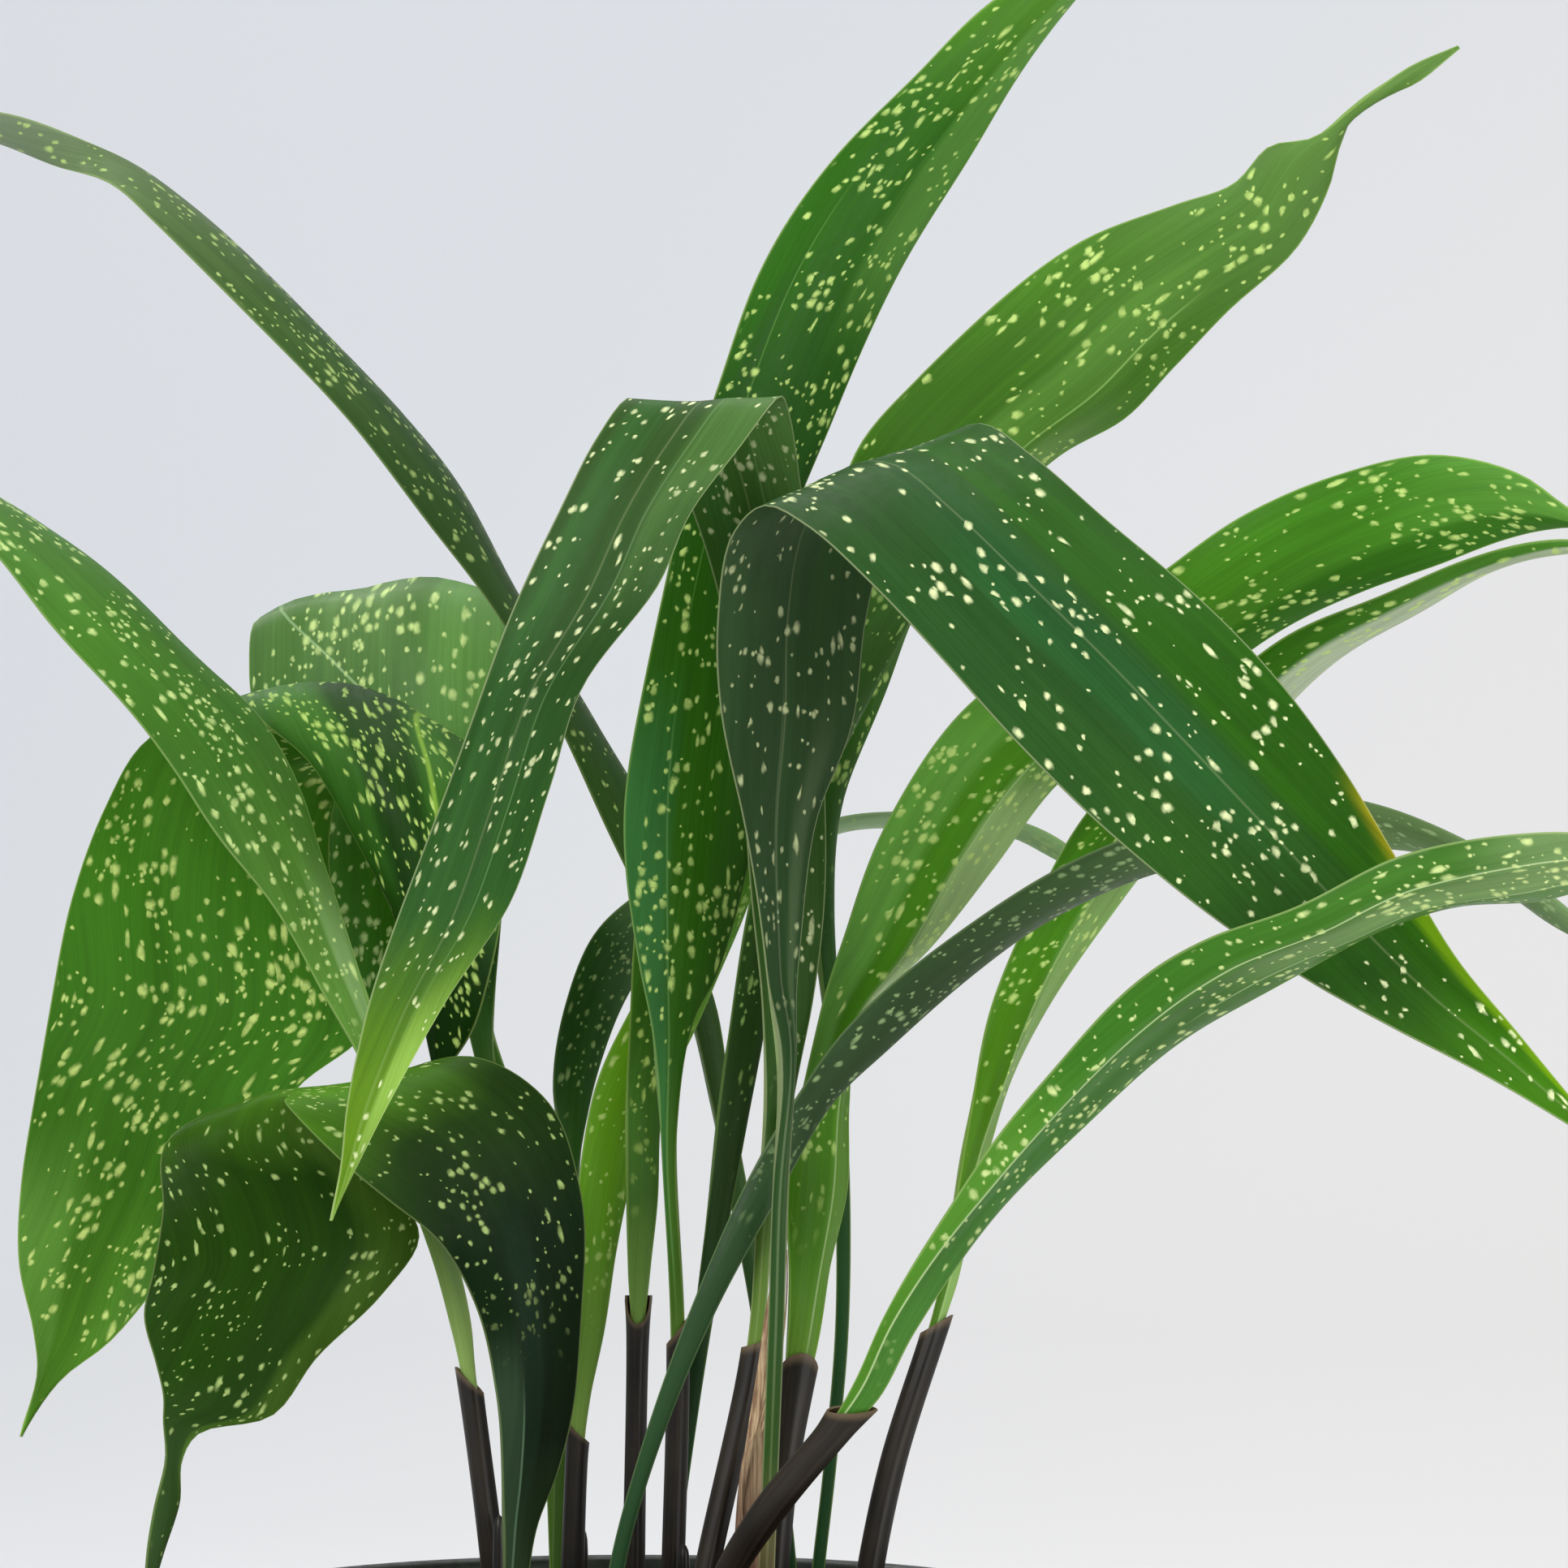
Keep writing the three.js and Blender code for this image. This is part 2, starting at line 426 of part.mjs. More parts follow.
// A closed bar through the rings, or with `inner` rings a closed wall between the two.
function sleeveSolid(outer, inner) {
  const sides = SLEEVE_SIDES;
  const points = outer.flat();
  const faces = [];
  const last = outer.length - 1;
  const at = (ring, i, shift = 0) => shift + ring * sides + (i % sides);
  const quad = (a, b, c, d) => faces.push(a, b, c, a, c, d);
  for (let r = 0; r < last; r += 1) {
    for (let i = 0; i < sides; i += 1) quad(at(r, i), at(r, i + 1), at(r + 1, i + 1), at(r + 1, i));
  }
  if (inner) {
    const shift = points.length;
    points.push(...inner.flat());
    for (let i = 0; i < sides; i += 1) {
      for (let r = 0; r < last; r += 1) {
        quad(at(r, i, shift), at(r + 1, i, shift), at(r + 1, i + 1, shift), at(r, i + 1, shift));
      }
      quad(at(0, i, shift), at(0, i + 1, shift), at(0, i + 1), at(0, i));
      quad(at(last, i), at(last, i + 1), at(last, i + 1, shift), at(last, i, shift));
    }
  } else {
    for (let i = 1; i + 1 < sides; i += 1) {
      faces.push(at(0, 0), at(0, i + 1), at(0, i));
      faces.push(at(last, 0), at(last, i), at(last, i + 1));
    }
  }
  return closedGeometry(points, faces);
}

function outward(geometry) {
  if (toSolid(geometry).volume() > 0) return geometry;
  const flipped = geometry.clone();
  const index = Array.from(flipped.index.array);
  for (let i = 0; i < index.length; i += 3) [index[i + 1], index[i + 2]] = [index[i + 2], index[i + 1]];
  flipped.setIndex(index);
  return flipped;
}

// The dark scale round the foot of a stalk: a thin sleeve that stands clear of the stalk.
function sheathGeometry(leaf) {
  const edges = edgesOf(leaf);
  const top = sighted(0, leaf.sheath, leaf.rows[1][2]).z;
  const room = leaf.sheathRoom ?? SHEATH_ROOM;
  const outer = sleeveRings(edges, SHEATH_FOOT, top, room, SHEATH_DEPTH, leaf.lip);
  const thin = 2 * SHEATH_WALL;
  const inner = sleeveRings(edges, SHEATH_FOOT, top, room - thin, SHEATH_DEPTH - thin, leaf.lip);
  return outward(sleeveSolid(outer, inner));
}

// The plain hole that a stalk, with or without its scale, stands in.
function holeSolid(leaf) {
  const edges = edgesOf(leaf);
  const gap = 2 * HOLE_GAP;
  const room = leaf.sheath ? leaf.sheathRoom ?? SHEATH_ROOM : BARE_ROOM;
  const depth = leaf.sheath ? SHEATH_DEPTH : STALK_THICKNESS + BARE_ROOM;
  const rings = sleeveRings(edges, RHIZOME_HEIGHT, SOIL_MIDDLE + 12, room + gap, depth + gap);
  return toSolid(outward(sleeveSolid(rings)));
}

// The creeping stem in the soil: bars that run from stalk to stalk in the order that they grew.
const RHIZOME_RUNS = [
  ["left_slanting", "folded_front", "long_slanting", "front_arch", "right_front"],
  ["front_arch", "broad_arch", "right_back", "right_low"],
  ["long_slanting", "tall", "narrow_middle", "middle", "young_left", "middle_left", "back_arch",
    "broad_left", "back_left"],
  ["narrow_middle", "upper_left", "upper_right"],
];

function footOf(name) {
  const edges = edgesOf(LEAVES[name]);
  const middle = edges[0].getPoint(0).add(edges[1].getPoint(0)).multiplyScalar(0.5);
  return middle.setZ(RHIZOME_HEIGHT);
}

function barSolid(from, to, radius, spare) {
  const bar = new THREE.CylinderGeometry(radius, radius, from.distanceTo(to) + 2 * spare, 6);
  const turn = new THREE.Quaternion();
  turn.setFromUnitVectors(new THREE.Vector3(0, 1, 0), to.clone().sub(from).normalize());
  bar.applyQuaternion(turn);
  const middle = from.clone().add(to).multiplyScalar(0.5);
  return toSolid(bar.translate(middle.x, middle.y, middle.z));
}

// The whole rhizome, or with `grow` the hollow that it lies in.
function rhizomeSolid(grow) {
  const radius = RHIZOME_RADIUS + grow;
  const bars = RHIZOME_RUNS.flatMap((run) => run.slice(1).map((name, index) => (
    barSolid(footOf(run[index]), footOf(name), radius, radius)
  )));
  return bars.reduce((all, bar) => all.add(bar));
}

function innerRadius(z) {
  return FOOT_RADIUS + ((RIM_RADIUS - LIP_OUT - FOOT_RADIUS) * z) / POT_HEIGHT - WALL;
}

// The nursery pot: a tapered wall, a rolled lip and a floor with drain holes near its edge.
function potGeometry() {
  const wallTop = RIM_RADIUS - LIP_OUT;
  const lipFoot = POT_HEIGHT - LIP_HEIGHT;
  const under = FOOT_RADIUS + ((wallTop - FOOT_RADIUS) * lipFoot) / POT_HEIGHT;
  const profile = [
    [0, 0], [FOOT_RADIUS - 2, 0], [FOOT_RADIUS, 2], [under, lipFoot], [RIM_RADIUS - 0.8, lipFoot],
    [RIM_RADIUS, lipFoot + 1], [RIM_RADIUS, POT_HEIGHT - 1.5], [RIM_RADIUS - 1.5, POT_HEIGHT],
    [wallTop - WALL + 1.5, POT_HEIGHT], [wallTop - WALL, POT_HEIGHT - 1.5],
    [innerRadius(FLOOR), FLOOR], [0, FLOOR],
  ];
  let pot = toSolid(outward(lathe(profile, ROUND_SEGMENTS)));
  for (let i = 0; i < DRAINS; i += 1) {
    const turn = (2 * Math.PI * i) / DRAINS;
    const drill = new THREE.CylinderGeometry(DRAIN_RADIUS, DRAIN_RADIUS, 4 * FLOOR, 10);
    drill.rotateX(Math.PI / 2);
    drill.translate(DRAIN_CIRCLE * Math.cos(turn), DRAIN_CIRCLE * Math.sin(turn), 0);
    pot = pot.subtract(toSolid(drill));
  }
  return toGeometry(pot);
}

// Small dark scales at the soil's surface, where new leaves will come up.
const BUDS = [
  { across: -14.8, depth: 31, top: 212 },
  { across: 16.6, depth: -16.5, top: 211 },
  { across: 28, depth: -31, top: 211 },
  { across: -40.2, depth: -30, top: 221 },
];

function budGeometry(bud, grow) {
  const profile = [
    [0, BUD_FOOT - grow], [BUD_RADIUS + grow, BUD_FOOT - grow],
    [BUD_RADIUS + grow, bud.top - 6], [BUD_RADIUS * 0.8 + grow, bud.top - 2], [0, bud.top + grow],
  ];
  const geometry = lathe(profile, 8);
  const foot = sighted(bud.across, SOIL_MIDDLE, bud.depth);
  return outward(geometry.translate(foot.x, foot.y, 0));
}

// The dry, split remnant of an old scale
const DRY_SHEATH = { fold: 0.2, wave: 0.3, rings: 9, rows: [
  [32, 196, -48, 40, 196, -46.5], [33.5, 225, -48, 41, 228, -46], [38, 255, -47.5, 44, 258, -46],
  [42.5, 285, -47, 46, 285, -46], [47, 310, -47, 47.8, 310, -47],
] };

function soilGeometry() {
  const foot = FLOOR + 1;
  const profile = [
    [0, foot], [innerRadius(foot) - CLEARANCE, foot],
    [innerRadius(SOIL_EDGE) - CLEARANCE, SOIL_EDGE], [innerRadius(SOIL_EDGE) * 0.8, SOIL_EDGE + 4],
    [innerRadius(SOIL_EDGE) * 0.4, SOIL_MIDDLE], [0, SOIL_MIDDLE],
  ];
  let soil = toSolid(outward(lathe(profile, ROUND_SEGMENTS)));
  soil = soil.subtract(rhizomeSolid(CLEARANCE + 0.1));
  for (const leaf of [...Object.values(LEAVES), DRY_SHEATH]) soil = soil.subtract(holeSolid(leaf));
  for (const bud of BUDS) soil = soil.subtract(toSolid(budGeometry(bud, CLEARANCE)));
  const bodies = soil.decompose().sort((a, b) => b.volume() - a.volume());
  return toGeometry(bodies[0]);
}

place("pot", potGeometry(), plastic);
place("soil", soilGeometry(), compost);
place("rhizome", toGeometry(rhizomeSolid(0)), root);
for (const [name, leaf] of Object.entries(LEAVES)) {
  place(`leaf_${name}`, leafGeometry(leaf), green);
  if (leaf.sheath) place(`sheath_${name}`, sheathGeometry(leaf), scale);
}
place("dry_sheath", leafGeometry(DRY_SHEATH), root);
BUDS.forEach((bud, index) => place(`bud_scale_${index + 1}`, budGeometry(bud, 0), scale));

export default plant;
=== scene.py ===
# %% [markdown]
# # A potted cast iron plant with cream spots
#
# The plant is 18 leaves on long stalks that rise from one creeping stem in a pot of bark compost.
# The solids of every piece come packed from the part's own source, and they are the fixed frame.
# Here each leaf, scale and the pot get a finer mesh on the same lines, and a finish of their own.

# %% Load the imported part
import math
import random
from types import SimpleNamespace
import bpy
import numpy as np
from mathutils import Euler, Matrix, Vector, noise


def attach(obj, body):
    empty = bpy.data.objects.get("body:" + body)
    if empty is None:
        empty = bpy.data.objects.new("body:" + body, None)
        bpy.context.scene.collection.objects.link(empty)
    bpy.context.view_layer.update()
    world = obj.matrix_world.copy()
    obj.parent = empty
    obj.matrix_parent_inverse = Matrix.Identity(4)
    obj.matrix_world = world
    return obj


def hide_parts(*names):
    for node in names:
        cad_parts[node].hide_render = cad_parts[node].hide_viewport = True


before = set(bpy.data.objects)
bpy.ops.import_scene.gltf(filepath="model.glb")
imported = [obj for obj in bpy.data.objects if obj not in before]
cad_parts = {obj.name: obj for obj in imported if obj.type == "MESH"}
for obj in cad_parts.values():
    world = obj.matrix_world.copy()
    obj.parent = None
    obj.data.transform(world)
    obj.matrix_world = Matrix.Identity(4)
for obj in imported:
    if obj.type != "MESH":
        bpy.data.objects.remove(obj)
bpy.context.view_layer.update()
bpy.ops.object.select_all(action="DESELECT")
print(len(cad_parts), "solids in the frame")

# %% [markdown]
# ## The camera
#
# The photograph looks level at the plant from 2.6 m away with a long lens, so that near and far
# leaves keep almost the same size. The pot is cut off below its rim.

# %% The camera
MM = 0.001
EYE_DISTANCE = 2600
EYE_ACROSS = 47.5
EYE_UP = 443.5
SENSOR = 36
LENS = 193.79
FARTHEST = 50

bpy.ops.object.camera_add(
    location=(EYE_ACROSS * MM, -EYE_DISTANCE * MM, EYE_UP * MM),
    rotation=(math.radians(90), 0, 0),
)
camera = bpy.context.object
camera.data.sensor_width = SENSOR
camera.data.lens = LENS
camera.data.clip_end = FARTHEST
bpy.context.scene.camera = camera
print("camera", [round(v, 3) for v in camera.location])

# %% [markdown]
# ## The lines of the leaves
#
# A leaf of this plant is a strap: a thin stalk that widens into a blade and narrows to a tip. Two
# lines say all of its shape, one along each edge. They could be drawn by hand as two curves. A
# short table of paired points is easier to correct, so each row below holds one edge and then the
# other, in millimetres: across, up and depth, as the camera sees them on an upright plane through
# the pot's middle, carried forward or back along the line of sight. `fold` is how far the midrib
# sinks or rises as a share of the width, and `wave` how high the edges ripple. `sheath` is how high
# a dark scale wraps the stalk, `sheath_room` how much wider it is, and `lip` how its lip slants.

# %% The table of leaves
LEAVES = {
    "tall": {"fold": 0.1, "wave": 1.2, "sheath": 275, "lip": [4, 0], "rows": [
        [11, 196, -8, 15.4, 196, -8], [12.6, 272, -8, 17, 272, -8], [9.5, 335, -6, 14.5, 335, -6],
        [7, 365, -8, 19, 370, -2], [2, 390, -12, 27, 385, 0], [-1, 415, -14, 35, 410, 2],
        [-1, 440, -12, 40, 438, 6], [5, 480, -6, 44, 475, 12], [15, 522, -2, 47.5, 515, 16],
        [25.5, 562, 0, 62.5, 557, 20], [39.5, 600, 4, 83, 600, 24], [62, 635, 8, 102, 633, 28],
        [87.5, 662, 12, 117.5, 658, 30], [113, 685, 18, 138, 685, 32], [155, 706, 26, 157, 707, 27],
    ]},
    "front_arch": {"fold": 0.02, "wave": 0.8, "sheath": 271, "sheath_room": 3.4, "lip": [1, 0], "rows": [
        [20.5, 196, -38, 25, 196, -38], [36, 270, -33, 40.6, 270, -33], [39, 310, -30, 44.5, 310, -30],
        [41.5, 345, -27, 50, 345, -24], [41, 375, -27, 56, 375, -20], [37, 410, -26, 60, 412, -16],
        [34, 450, -27, 60, 455, -16], [30, 490, -32, 58, 498, -20], [20, 525, -40, 53, 532, -27],
        [8, 552, -52, 49.5, 557, -38], [0, 562, -66, 46, 562, -52], [-11, 549, -80, 33, 546, -66],
        [-22.5, 526, -90, 19, 527, -74], [-34.5, 500, -97, 9, 505, -78],
        [-47.5, 467, -104, -15, 473.5, -82], [-60.5, 432, -110, -24.5, 442, -86],
        [-73, 397, -116, -36, 408, -92], [-81.5, 371, -122, -57.5, 376, -104],
        [-87.5, 345, -127, -74.5, 345, -118], [-89.5, 325, -131, -85, 323, -127],
        [-92.3, 309, -134, -91.5, 309, -133.5],
    ]},
    "broad_arch": {"fold": -0.02, "wave": 0.8, "rows": [
        [39.5, 196, -56, 44.5, 196, -56], [42.5, 275, -55, 47.5, 275, -55], [44, 320, -54, 49, 320, -54],
        [46, 355, -54, 50.5, 355, -50], [42, 388, -58, 51.5, 390, -44], [35, 430, -64, 57, 430, -40],
        [28.5, 465, -70, 69, 462, -38], [27.5, 495, -78, 72.5, 495, -36], [31, 520, -88, 79, 522, -36],
        [41, 530, -98, 92, 544, -40], [55, 523, -106, 107, 554, -52], [72, 507, -112, 124, 544, -66],
        [95, 483, -117, 146, 526, -78], [120, 456, -122, 172, 504, -90], [148, 428, -127, 198, 477, -102],
        [177, 404, -132, 220, 448, -112], [206, 385, -137, 238, 418, -121],
        [236, 368, -141, 255, 389, -129], [264, 353, -144, 274, 366, -138],
        [303, 330, -148, 304, 330.5, -148],
    ]},
    "upper_right": {"fold": 0.1, "wave": 1.5, "rows": [
        [55.5, 196, 62, 59.5, 196, 62], [59.5, 232, 60, 63.5, 232, 60], [63.2, 275, 57, 67.4, 275, 57],
        [63.2, 322, 52, 67.8, 322, 52], [60.5, 366, 48, 65, 366, 49], [56.5, 405, 40, 62.5, 405, 46],
        [56, 440, 34, 66, 440, 42], [59, 475, 28, 79, 474, 42], [62, 510, 24, 92, 502, 46],
        [70, 545, 22, 113, 528, 50], [88, 568, 24, 132, 545, 50], [113, 592, 28, 153, 556, 46],
        [140, 611, 32, 168, 572, 42], [168, 622, 34, 184, 589, 38], [186, 628.5, 34, 205, 608, 34],
        [197, 640, 32, 215, 626, 32], [210, 642.5, 30, 219, 640, 30], [221, 649.5, 28, 224.5, 649.5, 32],
        [231, 657.5, 27, 236, 656.5, 29], [240, 664.5, 27, 243.5, 660, 27],
        [255, 671, 26, 255.8, 670, 26],
    ]},
    "right_back": {"fold": 0.1, "wave": 1, "sheath": 262.5, "sheath_room": 3.7, "lip": [0, 6], "rows": [
        [42.8, 196, -18, 46.8, 196, -18], [45.6, 232, -17, 50.2, 232, -17],
        [47.2, 256, -16, 54.6, 256, -16], [48.4, 272, -17, 58, 272, -15], [49, 292, -18, 61.5, 292, -12],
        [49, 318, -18, 67, 318, -8], [52, 345, -14, 67, 345, -2], [58, 372, -8, 71, 370, 6],
        [66, 395, -2, 92, 392, 14], [78, 430, 4, 112, 418, 22], [99, 462, 8, 135, 446, 26],
        [130, 487, 10, 168, 468, 26], [160, 506, 10, 200, 490, 24], [190, 526.5, 8, 228, 503.8, 18],
        [218, 539, 4, 251, 512, 12], [247, 545, 0, 268, 518, 6], [273, 539, -6, 282, 521.5, -2],
        [289, 528, -10, 293, 522.5, -8], [306, 520, -14, 306.4, 519.4, -14],
    ]},
    "right_low": {"fold": 0.14, "wave": 0.8, "sheath": 277, "sheath_room": 4.2, "lip": [3, 0], "rows": [
        [71, 196, 8, 75.3, 196, 8], [79, 235, 10, 83.3, 235, 10], [92.6, 278, 13, 97, 278, 13],
        [96, 292, 15, 101.5, 292, 15], [99.5, 312, 18, 105.5, 312, 20], [105, 345, 22, 115, 345, 30],
        [113, 379, 30, 132, 380, 42], [126, 410, 38, 152, 408, 52], [143, 437, 44, 176, 437, 58],
        [170, 463, 46, 200, 464.5, 60], [200, 487, 44, 222, 484, 58], [228, 500.5, 40, 245, 498, 52],
        [256, 512.2, 36, 268, 509.5, 42], [286, 518.5, 30, 288, 514.3, 32],
        [306, 516.5, 26, 306.5, 516, 26],
    ]},
    "long_slanting": {"fold": 0.1, "wave": 0.5, "rows": [
        [-7.5, 196, -38, -2.5, 196, -38], [-3.5, 215, -38, 1.5, 215, -38], [7, 250, -39, 12, 247, -39],
        [20, 285, -40, 27, 282, -40], [36, 321, -38, 45, 315, -38], [50, 345, -36, 61, 343, -30],
        [66, 367, -32, 79, 361, -22], [89, 389, -26, 102, 382, -12], [118, 409, -20, 131, 402, -4],
        [148, 425, -16, 161, 416, 0], [180, 437, -8, 194, 422, 6], [210, 440, -6, 222, 424, 8],
        [235, 436, -6, 246, 422, 6], [262, 424, -8, 266, 412, 2], [285, 408, -12, 284, 400, -6],
        [303, 392, -16, 303, 391, -16],
    ]},
    "right_front": {"fold": 0.16, "wave": 0.8, "sheath": 252, "sheath_room": 5.2, "lip": [5, 0], "rows": [
        [26, 196, -66, 30.6, 196, -66], [41, 221.5, -78, 45, 218.5, -78], [62, 247, -91, 66, 243.6, -91],
        [69.5, 260, -97, 77, 254.5, -97], [79, 281, -104, 87.5, 274, -104],
        [97, 311, -114, 106.5, 302.5, -110], [125, 349.5, -128, 140, 338.5, -118],
        [150, 377, -140, 168.5, 362.5, -126], [178, 396, -154, 200, 382, -144],
        [208, 407, -164, 230, 397, -152], [238, 421, -164, 256, 406, -150],
        [268, 428, -168, 282, 408, -156], [296, 428, -170, 302, 412, -160],
        [318, 420, -172, 320, 410, -165], [338, 404, -174, 338.3, 403, -174],
    ]},
    "back_arch": {"fold": 0.08, "wave": 0.5, "rows": [
        [-24, 196, 40, -19, 196, 40], [-22, 285, 52, -17, 285, 52], [-21, 330, 58, -15, 330, 58],
        [-23.5, 350, 60, -11, 350, 66], [-20, 375, 64, -4, 372, 76], [-12, 396, 72, 4, 386, 90],
        [2, 409, 84, 14, 398, 106], [25, 420, 98, 30, 411, 120], [48, 427.5, 110, 50, 422, 128],
        [66, 433, 118, 67, 429, 132], [85, 435, 124, 85, 430.5, 136], [104, 435, 128, 102.5, 429.5, 138],
        [121, 431.5, 130, 118, 426.5, 138], [134, 425, 131, 131, 420.3, 136],
        [147, 414, 132, 146.5, 413.5, 132],
    ]},
    "upper_left": {"fold": 0.1, "wave": 0.5, "rows": [
        [47, 196, 78, 52, 196, 78], [40, 262, 74, 45, 262, 74], [36, 288, 72, 41, 288, 72],
        [31, 314, 70, 37, 315, 70], [25, 345, 68, 31, 346, 70], [18, 374, 64, 26, 376, 68],
        [5, 404, 60, 14, 406, 70], [-6, 428, 56, 6, 434, 70], [-20, 458, 50, -10, 461, 68],
        [-44, 500, 38, -33, 500, 62], [-64, 527, 28, -51, 533, 56], [-84, 552, 20, -70, 557, 50],
        [-104, 574, 12, -91, 580, 44], [-126, 597, 8, -114, 603, 38], [-147, 617, 4, -136, 622, 30],
        [-160, 628, 6, -154, 635, 20], [-177, 634, 14, -174, 644, 8], [-196, 641, 18, -194, 650, 4],
        [-216, 645, 16, -215, 651, 8], [-238, 648, 10, -238, 648.8, 10],
    ]},
    "broad_left": {"fold": 0.06, "wave": 1.5, "rows": [
        [-24.5, 196, 62, -20.5, 196, 62], [-28, 260, 70, -24, 260, 70], [-40, 330, 76, -35, 330, 76],
        [-51, 375, 76, -45, 375, 78], [-67, 422, 72, -49, 412, 76], [-96, 456, 58, -62, 438, 70],
        [-128, 466, 42, -76, 450, 62], [-150, 456, 26, -88, 445, 54], [-162, 436, 14, -92, 430, 46],
        [-171, 410, 6, -90, 403, 38], [-178, 378, 0, -80.5, 370, 35], [-183.5, 348, -4, -103, 349, 24],
        [-187.5, 318, -6, -118, 322, 14], [-188, 295, -8, -140, 296, 4], [-184, 275, -9, -160, 272, -3],
        [-183, 262, -10, -175, 260, -7], [-188, 242.5, -12, -187.2, 242.5, -12],
    ]},
    "left_slanting": {"fold": 0.1, "wave": 0.8, "sheath": 260, "sheath_room": 3.4, "lip": [-4, 0], "rows": [
        [-43.5, 196, -20, -39.2, 196, -20], [-52, 262, -24, -47.5, 262, -24],
        [-55.6, 278, -25, -49, 278, -25], [-60.5, 296, -26, -53, 296, -26],
        [-69, 320, -28, -62, 322, -28], [-79, 350, -30, -72, 353, -30],
        [-96.5, 382.5, -32, -84, 387, -26], [-111, 407, -34, -93.5, 418, -20],
        [-126.5, 427.5, -34, -101, 441, -14], [-140, 447, -32, -113, 462, -8],
        [-158, 470, -30, -131, 481, -2], [-178, 493, -26, -152, 501, 2], [-196, 514, -22, -175, 519, 4],
        [-213, 530, -18, -196, 533.5, 2], [-240, 552, -8, -239.5, 552.5, -8],
    ]},
    "folded_front": {"fold": 0.05, "wave": 1.2, "rows": [
        [-39, 196, -58, -31.5, 196, -57], [-39, 214, -61, -29, 214, -57],
        [-39.5, 232, -65, -22.5, 232, -58], [-41.5, 256, -70, -16.5, 256, -58],
        [-46, 280, -74, -14.5, 285, -58], [-58, 301, -80, -15.5, 318, -58],
        [-74, 315, -84, -24.5, 345.5, -58], [-90, 329, -86, -47, 359, -58],
        [-106, 344, -82, -80, 351.5, -54], [-104, 345, -73, -118, 347, -48],
        [-91, 335, -60, -143, 333, -52], [-74, 320, -50, -144, 312, -58], [-65, 304, -46, -147, 293, -62],
        [-76.5, 286, -50, -149.5, 280, -66], [-96, 267, -56, -146, 265, -68],
        [-110, 249, -60, -144, 255, -69], [-133, 243.5, -66, -144, 247, -70],
        [-138.5, 235, -68, -143, 235, -71], [-138.5, 222, -67, -146, 220, -72],
        [-143, 206, -68, -149, 204, -72], [-150, 186, -70, -150.8, 186, -70],
    ]},
    "middle_left": {"fold": -0.17, "wave": 1, "rows": [
        [-36, 196, 16, -32, 196, 16], [-37, 260, 18, -33, 260, 18], [-41, 320, 22, -36, 320, 22],
        [-48, 360, 26, -42, 362, 26], [-58, 395, 32, -40, 395, 28], [-74, 430, 42, -38, 425, 30],
        [-98, 459, 44, -36, 440, 30], [-121, 471, 34, -40, 444, 18], [-112, 461, 14, -38, 430, 0],
        [-98, 449, 4, -38, 415, -8], [-84, 425, -2, -40, 400, -12], [-73, 403, -4, -43, 384, -12],
        [-66, 382, -4, -48, 368, -10], [-60, 352, -4, -59.2, 352, -4],
    ]},
    "back_left": {"fold": -0.14, "wave": 1.2, "rows": [
        [-20, 196, 88, -15, 196, 88], [-28, 270, 102, -23, 270, 102], [-38, 340, 110, -33.5, 340, 110],
        [-48.5, 375, 117, -43.5, 375, 115], [-54, 405, 122, -40, 405, 112],
        [-61, 432, 124, -31, 430, 112], [-76, 464, 126, -22, 464, 108], [-96, 486, 122, -22, 487, 106],
        [-114.5, 495, 114, -26, 495, 98], [-117.5, 478, 104, -26, 482, 86],
        [-113.5, 455, 98, -29, 460, 80], [-106, 432, 94, -35, 434, 80], [-98, 408, 94, -44, 410, 82],
        [-90, 384, 96, -56, 384, 86], [-82, 362, 98, -67, 362, 94], [-76, 338, 100, -75.2, 338, 100],
    ]},
    "middle": {"fold": 0.1, "wave": 0.5, "sheath": 286, "lip": [0, -9], "rows": [
        [-1, 196, 12, 3.2, 196, 12], [0.3, 276, 14, 4.7, 276, 14], [-0.6, 294, 15, 6.4, 294, 15],
        [-1, 315, 16, 8.5, 315, 18], [-1, 345, 18, 10, 345, 24], [0, 375, 20, 18, 375, 34],
        [3, 410, 22, 27, 410, 40], [7, 445, 24, 32, 445, 42], [12, 480, 26, 34, 480, 42],
        [19, 512, 28, 33, 510, 40], [29, 540, 32, 29.8, 540, 32],
    ]},
    "young_left": {"fold": 0.12, "wave": 0.6, "sheath": 243.6, "lip": [-3, 0], "rows": [
        [-20, 196, 22, -15.6, 196, 22], [-18.4, 240, 24, -14, 240, 24], [-18.2, 254, 25, -12.2, 254, 25],
        [-16.5, 275, 26, -8, 275, 28], [-16, 300, 28, -4, 300, 32], [-15.5, 325, 30, 1, 325, 38],
        [-11, 348, 34, 8, 345, 44], [-3, 368, 38, 18, 364, 50], [8, 388, 44, 27, 383, 54],
        [20, 408, 50, 35, 403, 58], [34, 430, 56, 43, 426, 60], [50, 452, 62, 50.8, 452, 62],
    ]},
    "narrow_middle": {"fold": 0.1, "wave": 0.4, "rows": [
        [9, 196, 6, 14, 196, 6], [16, 249, 4, 21, 249, 4], [23, 305, 2, 30, 305, 2],
        [27.5, 345, 0, 37.5, 347, 4], [33, 385, 0, 45, 385, 8], [40, 420, 2, 53, 416, 14],
        [48, 448, 4, 60.5, 441, 18], [57, 474, 6, 72, 466, 20], [67, 496, 8, 83, 487, 18],
        [83, 514, 10, 93, 505, 16], [108, 529, 12, 108.7, 528, 12],
    ]},
}
print(len(LEAVES), "leaves")

# %% [markdown]
# ## Smooth lines through the points
#
# A smooth line has to pass through every point of the table without swinging out between two close
# ones. A cubic curve does that when its slope at a point depends on how far the next points are.
# Each line starts at the creeping stem in the compost, a little below the first row.

